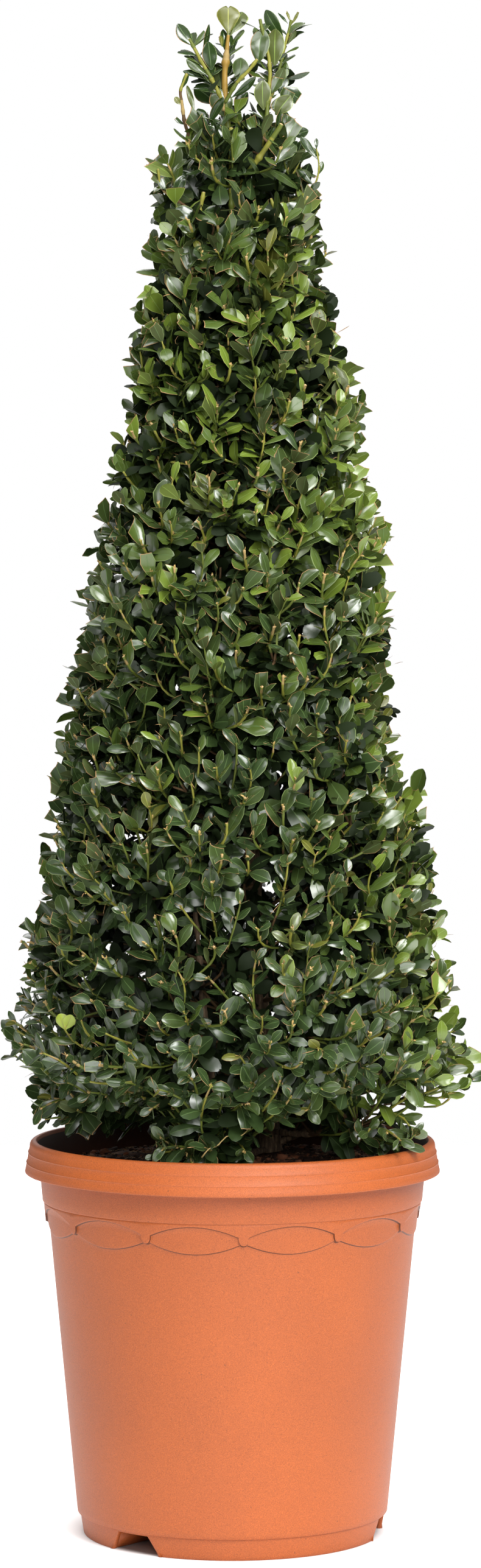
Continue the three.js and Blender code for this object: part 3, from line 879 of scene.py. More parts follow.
# A curled dry twig over the soil, in millimetres.
DRY_TWIG = (
    (-24, -148, 326), (-18, -147, 333), (-12, -147, 335), (-8, -146, 339), (-3, -145, 343), (5, -145, 342),
    (11, -144, 346), (14, -130, 350),
)


def smooth_line(points, count):
    """A smooth line in metres through these points in millimetres: Catmull-Rom."""
    points = MM * np.array(points, float)
    padded = np.concatenate([[2 * points[0] - points[1]], points, [2 * points[-1] - points[-2]]])
    out = []
    for place in np.linspace(0, len(points) - 1 - 1e-9, count):
        i = int(place)
        t = place - i
        a, b, c, d = padded[i:i + 4]
        out.append(0.5 * (2 * b + (c - a) * t + (2 * a - 5 * b + 4 * c - d) * t**2
                          + (3 * b - a - 3 * c + d) * t**3))
    return np.array(out)


for twig, (points, thick, thin, _) in TOP_TWIGS.items():
    LIMBS[twig] = (smooth_line(points, TWIG_CUTS), MM * np.linspace(thick, thin, TWIG_CUTS))


def leader_slot(part):
    """The slot at a share of the leader's young top."""
    height = BARK_TOP + part * (LEADER[-1, 2] - BARK_TOP)
    if height < 1095 * MM:
        return SHOOT_BROWN
    if height < 1172 * MM:
        return SHOOT_GREEN
    return SHOOT_NODE if 1202 * MM < height < 1211 * MM else SHOOT_OCHRE


def shoot_slots(old):
    """Slots along a packed shoot: brown for this share of it, then yellow with green stretches."""

    def slot_at(part):
        if part < old:
            return SHOOT_NODE
        return SHOOT_YELLOW if int(part * 7) % 3 else SHOOT_GREEN

    return slot_at


def twig_slots(old):
    """Slots along a twig of the open top: an old one is brown nearly to its tip."""

    def slot_at(part):
        if old and part < 0.85:
            return SHOOT_BROWN if int(part * 9) % 3 else SHOOT_NODE
        return SHOOT_YELLOW if part > 0.4 else SHOOT_GREEN

    return slot_at


def build_top_shoots():
    """The leader's young top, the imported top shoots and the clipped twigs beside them."""
    rng = random_for("top shoots")
    joined = Joined()

    def add(line, radii, sides, step, slot_at, gap):
        """A shoot with knots about this far apart."""
        length = line_length(line)
        places = np.arange(gap, length, gap)
        places = places + rng.normal(0, 1.5 * MM, len(places))
        knots = [(place / length, rng.uniform(0.25, 0.45), 1.8 * MM) for place in places]
        relief_limb(joined, line, radii, sides, step, rng, slot_at, 0.07, knots, SHOOT_CUT)

    centres, radii = LIMBS["stem_main"]
    high = centres[:, 2] >= BARK_TOP - 16 * MM
    swollen = [(0.905, 0.7, 3.2 * MM), (0.93, 0.35, 2 * MM), (0.66, 0.3, 2.5 * MM), (0.45, 0.3, 3 * MM)]
    thick = np.maximum(radii[high], 2.5 * MM)
    thick[-3:] *= (0.95, 0.8, 0.5)
    relief_limb(joined, centres[high], thick, 14, 1.2 * MM, rng, leader_slot, 0.07, swollen, SHOOT_CUT)
    for name in SHOOTS:
        centres, radii = LIMBS[name]
        old, gap = (0.25, 60 * MM) if name == "shoot_clipped" else (0.12, 15 * MM)
        add(centres, even_radii(radii), 10, 1.2 * MM, shoot_slots(old), gap)
    for name, (_, _, _, old) in TOP_TWIGS.items():
        add(*LIMBS[name], 9, 1.5 * MM, twig_slots(old), 13 * MM)
    joined.piece("top_shoots", SHOOT_LOOKS, ["stem_main", *SHOOTS])


# ------------------------------------------------------------------ crown


def bezier(curves, t, heading=False):
    """Points of cubic curves, or their headings. curves: four arrays (n, 3); t: (k,) or (n, k)."""
    p0, p1, p2, p3 = (p[:, None] for p in curves)
    t = np.broadcast_to(t, (len(p0), np.shape(t)[-1]))[..., None]
    s = 1 - t
    if heading:
        return unit(s**2 * (p1 - p0) + 2 * s * t * (p2 - p1) + t**2 * (p3 - p2))
    return s**3 * p0 + 3 * s**2 * t * p1 + 3 * s * t**2 * p2 + t**3 * p3


def one_curve(points, count):
    return bezier([p[None] for p in points], np.linspace(0, 1, count))[0]


def shoot_curves(shoots):
    return [shoots[key] for key in ("foot", "bend", "lead", "tip")]


class Envelope:
    """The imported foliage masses: where their surfaces are, and what is inside them."""

    def __init__(self):
        self.names = [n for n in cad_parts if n.startswith("foliage_")]
        self.meshes = {name: node_mesh(name) for name in self.names}
        self.trees = {
            name: BVHTree.FromPolygons(corners.tolist(), triangles.tolist())
            for name, (corners, triangles) in self.meshes.items()
        }
        self.boxes = {
            name: (corners.min(0) - 40 * MM, corners.max(0) + 40 * MM)
            for name, (corners, _) in self.meshes.items()
        }

    def outside(self, point):
        """How far a point is outside the nearest mass, negative inside."""
        best = 1.0
        for name, tree in self.trees.items():
            low, high = self.boxes[name]
            if np.all(point > low) and np.all(point < high):
                place, normal, _, distance = tree.find_nearest(Vector(point))
                if (Vector(point) - place).dot(normal) < 0:
                    distance = -distance
                best = min(best, distance)
        return best

    def depths(self, points):
        return np.array([self.outside(point) for point in points])

    def covered(self, point, normal, reach):
        start = Vector(point + normal * 0.8 * MM)
        return any(t.ray_cast(start, Vector(normal), reach)[0] is not None for t in self.trees.values())

    def surface_points(self, name, spacing, rng):
        """Points spread over a mass's own surface, no two nearer than the spacing, with their normals."""
        corners, triangles = self.meshes[name]
        a, b, c = (corners[triangles[:, k]] for k in range(3))
        cross = np.cross(b - a, c - a)
        area = 0.5 * np.linalg.norm(cross, axis=1)
        normals = unit(cross)
        count = int(5 * area.sum() / spacing**2)
        picked = rng.choice(len(area), count, p=area / area.sum())
        u, v = rng.random(count), rng.random(count)
        flip = u + v > 1
        u[flip], v[flip] = 1 - u[flip], 1 - v[flip]
        points = a[picked] + u[:, None] * (b - a)[picked] + v[:, None] * (c - a)[picked]
        kept, cells = [], {}
        for point, normal in zip(points, normals[picked]):
            cell = tuple((point // spacing).astype(int))
            near = [
                other
                for dx in (-1, 0, 1) for dy in (-1, 0, 1) for dz in (-1, 0, 1)
                for other in cells.get((cell[0] + dx, cell[1] + dy, cell[2] + dz), ())
            ]
            if any(np.sum((point - other) ** 2) < spacing**2 for other in near):
                continue
            if self.covered(point, normal, 30 * MM):
                continue
            cells.setdefault(cell, []).append(point)
            kept.append((point, normal))
        return kept


envelope = Envelope()
CROWN_X = 5 * MM
BEYOND = 0.4
BOUGHS_LOW = 335 * MM
BOUGHS_HIGH = 1030 * MM
BOUGH_COUNT = 78


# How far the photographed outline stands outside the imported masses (negative: inside), by height, in mm.
# These were measured off the photo by a scratch program, not worked out from sizes: report.md says so.
OUTLINE_RIGHT = (
    (330, 0), (349, -8), (370, 2), (390, 8), (408, 3), (428, -20), (450, 5), (468, 6), (487, -7), (540, -8),
    (587, -13), (606, -4), (628, -21), (665, -18), (706, -15), (730, -5), (785, 4), (845, 6), (884, -2),
    (930, 9), (964, -1), (985, -10), (1020, -12), (1045, -1),
)
OUTLINE_LEFT = (
    (330, -3), (349, -14), (368, -26), (388, 1), (408, 5), (448, -6), (468, -6), (487, 7), (507, -8),
    (527, -11), (547, 7), (567, -6), (587, 3), (646, -5), (725, -1), (765, 5), (805, 7), (845, 4),
    (884, -5), (944, -10), (983, -2), (1090, -2), (1122, 12), (1140, 0),
)


def outline_shift(points):
    """How far out of (or into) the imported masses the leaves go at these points, towards either side."""
    heights = points[:, 2] / MM
    across = points[:, 0] - np.interp(points[:, 2], LEADER[:, 2], LEADER[:, 0])
    depth = points[:, 1] - np.interp(points[:, 2], LEADER[:, 2], LEADER[:, 1])
    sideways = across**2 / (across**2 + depth**2 + 1e-6)
    right = np.interp(heights, *np.transpose(OUTLINE_RIGHT))
    left = np.interp(heights, *np.transpose(OUTLINE_LEFT))
    return np.where(across > 0, right, left) * sideways * MM


def crown_reach(height, heading):
    """How far the clipped crown reaches from the leader at this height, along a compass heading."""
    start = at_height(LEADER, height)
    start[2] = height
    way = Vector(compass(heading))
    far = 0.0
    for name in ("foliage_cone", "foliage_neck"):
        hit = envelope.trees[name].ray_cast(Vector(start) + way * BEYOND, -way, BEYOND)
        if hit[0] is not None:
            far = max(far, BEYOND - hit[3])
    return far


def grow_boughs(tubes):
    """Boughs round the leader at the golden angle, each with twigs to either side.

    Returns points along them that shoots may leave from.
    """
    rng = random_for("boughs")
    starts = []
    for i in range(BOUGH_COUNT):
        share = (i / BOUGH_COUNT) ** 0.94
        height = BOUGHS_LOW + (BOUGHS_HIGH - BOUGHS_LOW) * share
        heading = i * GOLDEN_ANGLE + rng.normal(0, 0.15)
        foot = at_height(LEADER, height)
        reach = crown_reach(height + 30 * MM, heading)
        length = reach * rng.uniform(0.6, 0.74)
        climb = length * (0.25 + 0.75 * share) + 20 * MM
        out = compass(heading)
        line = one_curve((
            foot, foot + out * 0.4 * length + UP * 0.15 * climb,
            foot + out * 0.8 * length + UP * 0.45 * climb, foot + out * length + UP * climb,
        ), 9)
        line[1:-1] += rng.normal(0, 1.3 * MM, (7, 3))
        thick = MM * (1.0 + 9 * length)
        tubes.add(line, thick, 0.9 * MM, SHOOT_BROWN)
        starts += list(line[3:])
        for k, part in enumerate((2, 4, 5, 7, 8)):
            foot_2 = line[part]
            side = 1 if k % 2 else -1
            swing = heading + side * rng.uniform(0.5, 1.15)
            out_2 = compass(swing)
            span = reach * rng.uniform(0.28, 0.45) + 12 * MM
            tip_2 = foot_2 + out_2 * span + UP * span * rng.uniform(0.35, 1.1)
            if envelope.outside(tip_2) > -18 * MM:
                tip_2 = foot_2 + (tip_2 - foot_2) * 0.5
            if envelope.outside(tip_2) > -12 * MM:
                continue
            mid = foot_2 + out_2 * span * 0.55 + UP * span * 0.15
            line_2 = one_curve((foot_2, mid, mid * 0.4 + tip_2 * 0.6, tip_2), 6)
            tubes.add(line_2, 1.1 * MM, 0.8 * MM, SHOOT_BROWN)
            starts += list(line_2[2:])
    return starts


TIP_SPACING = {
    "foliage_cone": 19.0 * MM,
    "foliage_neck": 16.5 * MM,
    "foliage_low_right": 20.0 * MM,
    "foliage_low_left": 20.0 * MM,
    "foliage_low_back": 20.0 * MM,
    "foliage_low_front": 18.0 * MM,
    "foliage_rim_right": 18.0 * MM,
}
SHOOT_REACH = 55 * MM
CLIPPED_SHARE = 0.42


def best_start(tree, tip):
    """The place that a shoot to this tip leaves from: about a shoot's reach away, and below the tip."""

    def cost(found):
        place, _, distance = found
        return abs(distance - SHOOT_REACH) + 1.6 * max(0.0, place.z - tip[2] + 15 * MM)

    return np.array(min(tree.find_n(Vector(tip), 24), key=cost)[0])


def gathered(rows):
    """One dictionary of arrays out of a list of dictionaries."""
    return {key: np.array([row[key] for row in rows]) for key in rows[0]}


def grow_shoots(starts):
    """One shoot to each point on the masses' surfaces, from the best-placed twig below it."""
    rng = random_for("shoots")
    tree = KDTree(len(starts))
    for i, start in enumerate(starts):
        tree.insert(start, i)
    tree.balance()
    shoots = []
    for mass, name in enumerate(envelope.names):
        if name not in TIP_SPACING:
            continue
        for point, normal in envelope.surface_points(name, TIP_SPACING[name], rng):
            if name == "foliage_neck" and facing_front(point, normal, rng):
                continue
            out = (point - at_height(LEADER, point[2])) * [1, 1, 0]
            out = unit(out) if np.linalg.norm(out) > 5 * MM else unit(normal * [1, 1, 0])
            lift = np.interp(point[2], [0.33, 0.42, 0.6, 0.9, 1.15], [0.1, 0.75, 1.5, 2.1, 2.8])
            lean = 0.55 * out + 0.45 * normal
            heading = unit(lean + UP * lift * rng.uniform(0.5, 1.5) + rng.normal(0, 0.26, 3))
            clipped = rng.random() < CLIPPED_SHARE * np.interp(point[2], [0.37, 0.46], [0.2, 1])
            depth = rng.uniform(-1, 5) if clipped else rng.uniform(-3, 13)
            tip = point - normal * depth * MM + out * outline_shift(point[None])[0]
            if not above_gap(tip[None], mass)[0]:
                continue
            foot = best_start(tree, tip)
            span = np.linalg.norm(tip - foot)
            shoots.append({
                "foot": foot, "bend": foot + unit(unit(tip - foot) + 0.5 * out) * 0.35 * span,
                "lead": tip - heading * 0.5 * span, "tip": tip, "out": out, "mass": mass, "clipped": clipped,
            })
    return gathered(shoots)


def facing_front(point, normal, rng):
    """True where the listed leaves stand, so that the rule leaves them room."""
    if normal[1] > -0.15 or point[2] < 1078 * MM:
        return False
    return rng.random() < 0.5


LEAFY_LENGTH = 85 * MM
MOST_NODES = 8
LONGEST_LEAF = 30 * MM
YOUNG_SIZE = np.array([0.7, 0.92, 1.0, 1.0, 0.97, 0.92, 0.9, 0.85])


def place_leaves(shoots):
    """Crossed pairs of leaves along the outer part of each shoot: one row for each leaf."""
    rng = random_for("leaves")
    count = len(shoots["tip"])
    curves = shoot_curves(shoots)
    line = bezier(curves, np.linspace(0, 1, 9))
    length = np.linalg.norm(np.diff(line, axis=1), axis=-1).sum(1)
    internode = MM * rng.lognormal(math.log(11.5), 0.22, count)
    step = np.arange(MOST_NODES)[None, :]
    stub = np.where(shoots["clipped"], rng.uniform(2, 10, count), 1.2)[:, None] * MM
    uneven = rng.normal(0, 0.1, (count, MOST_NODES))
    back = np.maximum(stub + internode[:, None] * (step * (1 - 0.02 * step) + uneven), 0.4 * MM)
    part = 1 - back / length[:, None]
    kept = (part > 0.06) & (back < LEAFY_LENGTH)
    part = np.clip(part, 0, 1)
    base = bezier(curves, part)
    along = bezier(curves, part, heading=True)
    reference = unit(np.cross(along, shoots["out"][:, None] + rng.normal(0, 0.1, (count, 1, 3))))
    third = np.cross(along, reference)
    fan = rng.choice([-1, 1], (count, 1)) * rng.uniform(0.35, 0.95, (count, 1)) * np.where(step % 2, 1, -1)
    turn = fan + rng.normal(0, 0.25, (count, MOST_NODES))
    size = MM * np.interp(shoots["tip"][:, 2], [0.33, 0.45, 0.65, 1.0, 1.2], [21.5, 22, 24.5, 27, 27])
    size = size * rng.lognormal(0, 0.16, count)
    sides = []
    light = unit(0.65 * UP + 0.75 * shoots["out"])[:, None]
    grown = np.where(shoots["clipped"][:, None], 1.0, YOUNG_SIZE[None])
    for side in (1, -1):
        radial = side * (np.cos(turn)[..., None] * reference + np.sin(turn)[..., None] * third)
        angle = np.radians(28 + 8 * step + rng.normal(0, 8, (count, MOST_NODES)))
        angle = np.clip(angle, 0.25, 1.4)[..., None]
        heading = np.cos(angle) * along + np.sin(angle) * radial
        heading = unit(heading + rng.normal(0, 0.06, heading.shape))
        face = np.sin(angle) * along - np.cos(angle) * radial
        face = face + light * rng.uniform(0.0, 1.0, (count, MOST_NODES, 1))
        face = square_to(face, heading)
        leaf_length = size[:, None] * grown * rng.lognormal(0, 0.1, (count, MOST_NODES))
        leaf_length = np.minimum(leaf_length, LONGEST_LEAF)
        ratio = rng.normal(0.53, 0.045, (count, MOST_NODES))
        sides.append(picked({
            "base": base, "along": heading, "face": face, "length": leaf_length,
            "width": leaf_length * ratio, "shoot": np.broadcast_to(np.arange(count)[:, None], kept.shape),
            "node": np.broadcast_to(step, kept.shape),
        }, kept))
    return joined_rows(*sides)


LIME_SPRAY = np.array([-143, -105, 425]) * MM


def deal_tones(shoots):
    """A tone for each spray: darker and bluer to the left and low, lighter and fresher to the right and top,
    partly the sprays' own age and partly painted light and shade by height and side.
    """
    rng = random_for("tones")
    tips = shoots["tip"]
    patches = np.array([noise.noise(Vector(p) * 14) for p in tips])
    by_height = np.interp(tips[:, 2], [0.35, 0.5, 0.75, 0.95, 1.08, 1.2], [-0.32, -0.1, 0.32, 0.8, 0.42, 0.3])
    by_side = np.interp(tips[:, 0] - CROWN_X, [-0.19, 0.0, 0.09, 0.18], [-0.1, 0.0, 0.36, 1.1])
    youth_and_light = by_height + by_side + 0.45 * patches + rng.normal(0, 0.24, len(tips))
    tones = BLUE_GREEN + np.digitize(youth_and_light, [0.0, 0.45, 0.88])
    tones = np.where((youth_and_light > 0.8) & (rng.random(len(tips)) < 0.18), OLIVE, tones)
    tones = np.where(rng.random(len(tips)) < 0.002, YELLOW_GREEN, tones)
    tones[np.argmin(np.linalg.norm(tips - LIME_SPRAY, axis=1))] = LIME
    return tones


def trim(leaves, shoots, rng):
    """Where the shears met each leaf: 1 for a whole leaf, else the part of its length that is left."""
    count = len(leaves["length"])
    sheared = shoots["clipped"][leaves["shoot"]]
    room = np.where(sheared, rng.uniform(-2, 6, count), rng.uniform(6, 14, count)) * MM
    room += outline_shift(leaves["base"])
    room += np.interp(leaves["base"][:, 2], [0.38, 0.44], [12 * MM, 0])
    beyond = envelope.depths(leaf_tips(leaves))
    past = beyond > room
    before = envelope.depths(leaves["base"][past])
    cut = np.ones(count)
    cut[past] = (room[past] - before) / np.maximum(beyond[past] - before, 1e-6)
    return cut


def clear_of_pot(points):
    """True for points that are neither under the soil nor in or below the pot's rim."""
    across = np.hypot(points[:, 0], points[:, 1])
    over_soil = points[:, 2] > SOIL_HIGH.z - (SOIL_HIGH.z - SOIL_EDGE) * (across / SOIL_RADIUS) ** 2 + 2 * MM
    over_rim = points[:, 2] > RIM_HEIGHT + 1 * MM
    return np.where(across < LIP_RADIUS - 1.5 * MM, over_soil, over_rim | (across > RIM_RADIUS + 2 * MM))


OPEN_X = 68 * MM
UNDERSIDE_RIGHT = 359 * MM


def above_gap(points, mass):
    """False for points in the gap that the photo shows between crown and rim on the right."""
    spray = mass == envelope.names.index("foliage_rim_right")
    ragged = 6 * MM * np.sin(points[:, 0] / (6 * MM) + points[:, 1] / (9 * MM))
    return spray | (points[:, 0] < OPEN_X) | (points[:, 2] > UNDERSIDE_RIGHT + ragged)


def leaf_outline(s, widest):
    """Half-width of a box leaf along its length, as a share of its widest, which comes beyond the middle."""
    blade = np.sin(math.pi * np.clip(s, 0, 1) ** widest) ** 0.66
    return np.maximum(blade, 0.1 * (s < 0.3))


RIB, BLADE, MARGIN = 0, 1, 2
RIPPLE = 0.2 * MM
COLUMNS = np.array([-1, -0.93, -0.52, -0.05, 0.05, 0.52, 0.93, 1])
STRIPS = (MARGIN, BLADE, BLADE, RIB, BLADE, BLADE, MARGIN)
# Grades of leaf mesh: the rows of corners along the leaf, the columns across it, what each strip between
# two columns is, and whether the leaf ends in a tip.
FINE = (np.array([0, 0.05, 0.13, 0.24, 0.37, 0.5, 0.63, 0.74, 0.83, 0.9, 0.95, 0.985]), COLUMNS, STRIPS, True)
FULL = (np.array([0, 0.09, 0.3, 0.56, 0.79, 0.93, 0.985]), COLUMNS, STRIPS, True)
CUT = (np.array([0, 0.1, 0.32, 0.62, 0.974, 1.0]), COLUMNS, STRIPS, False)
MIDDLE = (np.array([0, 0.13, 0.42, 0.74, 0.94]), np.array([-1, -0.06, 0.06, 1]), (BLADE, RIB, BLADE), True)
INNER = (np.array([0, 0.18, 0.45, 0.72, 0.92]), np.array([-1.0, 0.0, 1.0]), (BLADE, BLADE), True)


def leaf_corners(leaf, rows, columns, with_tip):
    """Corners of every leaf at once, as (leaf, row, column, xyz), and their tips."""
    one = {key: value[:, None, None] for key, value in leaf.items() if value.ndim == 1}
    side = np.cross(leaf["along"], leaf["face"])

    def place(s, u):
        half = 0.5 * one["width"] * leaf_outline(s, one["widest"])
        s = s - one["notch"] * s**9 * (1 - np.abs(u)) ** 1.5
        bend = one["bend"] + 1e-4
        forward = one["length"] * np.sin(bend * s) / bend
        down = one["length"] * (1 - np.cos(bend * s)) / bend
        x = half * u
        z = half * (one["fold"] * np.abs(u) - one["curl"] * u**2)
        z = z + one["wave"] * half * u * np.sin(9 * s + one["phase"])
        z = z + RIPPLE * np.sin(23 * s + 6 * u + 3 * one["phase"]) * np.cos(17 * s - 7 * u + 5 * one["phase"])
        twist = one["twist"] * s
        turned_x = x * np.cos(twist) - z * np.sin(twist) + one["sweep"] * one["length"] * s**2
        turned_z = x * np.sin(twist) + z * np.cos(twist) - down
        return (
            leaf["base"][:, None, None]
            + side[:, None, None] * turned_x[..., None]
            + leaf["along"][:, None, None] * forward[..., None]
            + leaf["face"][:, None, None] * turned_z[..., None]
        )

    share = rows[None, :, None] * one["cut"] * (1 + one["slant"] * columns[None, None, :])
    body = place(np.clip(share, 0, 0.995), columns[None, None, :])
    tip = place(np.ones((len(leaf["cut"]), 1, 1)), np.zeros((1, 1, 1)))[:, 0, 0] if with_tip else None
    return body, tip


def add_leaves(joined, leaf, grade):
    rows, columns, strips, with_tip = grade
    count = len(leaf["cut"])
    if not count:
        return
    body, tip = leaf_corners(leaf, rows, columns, with_tip)
    first = joined.add_corners(body)
    per_leaf = len(rows) * len(columns)
    shift = first + np.arange(count)[:, None, None] * per_leaf
    quads = shift + grid_faces(len(rows), len(columns))[None]
    tone = leaf["tone"]
    group = VEIN_GROUP[np.minimum(tone, len(VEIN_GROUP) - 1)]
    looks = {BLADE: tone, RIB: FIRST_RIB + group, MARGIN: FIRST_MARGIN + group}
    strip_slots = np.stack([looks[strip] for strip in strips], -1)
    slots = np.repeat(strip_slots[:, None], len(rows) - 1, axis=1)
    if not with_tip:
        slots[:, -1, :] = CUT_EDGE
    if strips is STRIPS:
        slots[leaf["browned"], 1:, 0] = CUT_EDGE
    joined.add_faces(quads, slots.ravel())
    if with_tip:
        point = joined.add_corners(tip) + np.arange(count)[:, None]
        last = shift[:, 0] + (len(rows) - 1) * len(columns) + np.arange(len(columns))[None]
        fan = np.stack([last[:, :-1], last[:, 1:], np.broadcast_to(point, last[:, 1:].shape)], -1)
        joined.add_faces(fan.reshape(-1, 3), strip_slots.ravel())


def finish_leaves(leaves, rng):
    """The small differences between one leaf and the next."""
    count = len(leaves["length"])
    leaves["widest"] = rng.uniform(1.12, 1.6, count)
    leaves["bend"] = rng.normal(0.42, 0.35, count)
    leaves["fold"] = rng.normal(0.34, 0.18, count)
    leaves["curl"] = rng.uniform(0.15, 0.55, count)
    leaves["twist"] = rng.normal(0, 0.28, count)
    leaves["sweep"] = rng.normal(0, 0.045, count)
    leaves["wave"] = rng.uniform(0, 0.14, count)
    leaves["phase"] = rng.uniform(0, 6, count)
    leaves["notch"] = np.where(rng.random(count) < 0.2, rng.uniform(0.02, 0.06, count), 0)
    leaves["cut"] = np.ones(count)
    leaves["slant"] = np.zeros(count)
    leaves["browned"] = rng.random(count) < 0.3
    return leaves


def picked(leaves, mask):
    return {key: value[mask] for key, value in leaves.items()}


def joined_rows(*groups):
    """One set of leaves out of several, with the columns that they share."""
    shared = set(groups[0]).intersection(*groups[1:])
    return {key: np.concatenate([group[key] for group in groups]) for key in shared}


def build_shoot_stems(shoots, tubes):
    rng = random_for("stems")
    line = bezier(shoot_curves(shoots), np.array([0, 0.3, 0.52, 0.68, 0.8, 0.9, 0.96, 1.0]))
    swell = np.array([1, 1, 0.95, 1.25, 0.95, 1.3, 0.95, 1.25])
    for i, clipped in enumerate(shoots["clipped"]):
        slot = SHOOT_YELLOW if rng.random() < 0.45 else SHOOT_GREEN
        rings = [SHOOT_BROWN, SHOOT_GREEN, SHOOT_GREEN, slot, slot, slot, slot]
        if rng.random() < 0.4:
            rings[5] = SHOOT_NODE
        thick = MM * (rng.uniform(0.95, 1.2) if clipped else rng.uniform(0.9, 1.1))
        if clipped and rng.random() < 0.4:
            rings[6] = SHOOT_NODE
        end = SHOOT_CUT if clipped else slot
        tubes.add(line[i], thick, thick * (0.92 if clipped else 0.7), slot, end, swell, rings)


INNER_TRIES = 9400


def build_inner_leaves(starts):
    """Old leaves on the twigs inside the crown, all in the near-black shaded tone: their own dark green made
    darker still with painted shade.
    """
    rng = random_for("inner")
    chosen = rng.choice(len(starts), INNER_TRIES)
    base = np.array(starts)[chosen] + rng.normal(0, 6 * MM, (INNER_TRIES, 3))
    base = base[envelope.depths(base) < -16 * MM]
    count = len(base)
    out = unit((base - at_height(LEADER, base[:, 2]).T) * [1, 1, 0])
    along = unit(out + 0.7 * UP + rng.normal(0, 0.7, (count, 3)))
    face = out * 0.4 + UP * 0.6 + rng.normal(0, 0.5, (count, 3))
    length = MM * rng.normal(21, 2.0, count)
    leaves = finish_leaves({
        "base": base, "along": along, "face": square_to(face, along), "length": length,
        "width": length * rng.normal(0.55, 0.04, count),
    }, rng)
    leaves["tone"] = np.full(count, SHADED)
    leaves = picked(leaves, clear_of_pot(leaf_tips(leaves)))
    joined = Joined()
    add_leaves(joined, leaves, INNER)
    joined.piece("leaves_inner", LEAF_LOOKS)


def leaf_tips(leaves):
    return leaves["base"] + leaves["along"] * (leaves["length"] * leaves["cut"])[:, None]


BUD_SHARE = 0.75
SCALES_PER_END = 3
SLIVER_SHARE = 0.5


def build_buds(shoots, leaves):
    """Paired tan buds at the nodes, scales round the clipped ends, and dry slivers of sheared leaves."""
    rng = random_for("buds")
    outer = leaves["node"] < 3
    at_nodes = picked(leaves, outer & (rng.random(len(outer)) < BUD_SHARE))
    count = len(at_nodes["node"])
    tip_heading = bezier(shoot_curves(shoots), np.array([0.97]), heading=True)[:, 0]
    lean = unit(at_nodes["along"] + 0.8 * tip_heading[at_nodes["shoot"]])
    buds = {
        "base": at_nodes["base"] + 0.6 * MM * lean,
        "along": lean,
        "face": unit(np.cross(lean, rng.normal(0, 1, (count, 3)))),
        "length": MM * rng.uniform(2.6, 5.2, count),
    }
    buds["width"] = buds["length"] * rng.uniform(0.3, 0.5, count)
    scales = []
    for _ in range(SCALES_PER_END):
        ends = np.flatnonzero(shoots["clipped"] | (rng.random(len(shoots["tip"])) < 0.3))
        heading = tip_heading[ends]
        lean = unit(heading + rng.normal(0, 0.45, heading.shape))
        scales.append({
            "base": shoots["tip"][ends] - heading * rng.uniform(0, 3, (len(ends), 1)) * MM,
            "along": lean,
            "face": unit(np.cross(lean, rng.normal(0, 1, (len(ends), 3)))),
            "length": MM * rng.uniform(2.0, 4.6, len(ends)),
            "width": MM * rng.uniform(1.0, 1.9, len(ends)),
        })
    sheared = picked(leaves, outer & (rng.random(len(outer)) < SLIVER_SHARE))
    count = len(sheared["node"])
    part = (sheared["length"] * rng.uniform(0.2, 0.8, count))[:, None]
    slivers = {
        "base": sheared["base"] + sheared["along"] * part,
        "along": unit(sheared["along"] + rng.normal(0, 0.7, (count, 3))),
        "face": sheared["face"],
        "length": MM * rng.uniform(5, 12, count),
        "width": MM * rng.uniform(0.4, 0.8, count),
    }
    joined = Joined()
    buds = finish_leaves(joined_rows(buds, *scales), rng)
    buds["fold"] = rng.uniform(0.7, 1.2, len(buds["fold"]))
    buds["tone"] = np.full(len(buds["fold"]), BUD)
    slivers = finish_leaves(slivers, rng)
    within = envelope.depths(slivers["base"]) < -1 * MM
    slivers["bend"] = rng.normal(0, 1.9, count)
    slivers["tone"] = np.full(count, CUT_EDGE)
    slivers = picked(slivers, within)
    for group in (buds, slivers):
        group = picked(group, clear_of_pot(leaf_tips(group)))
        add_leaves(joined, group, INNER)
    joined.piece("buds_and_slivers", LEAF_LOOKS)


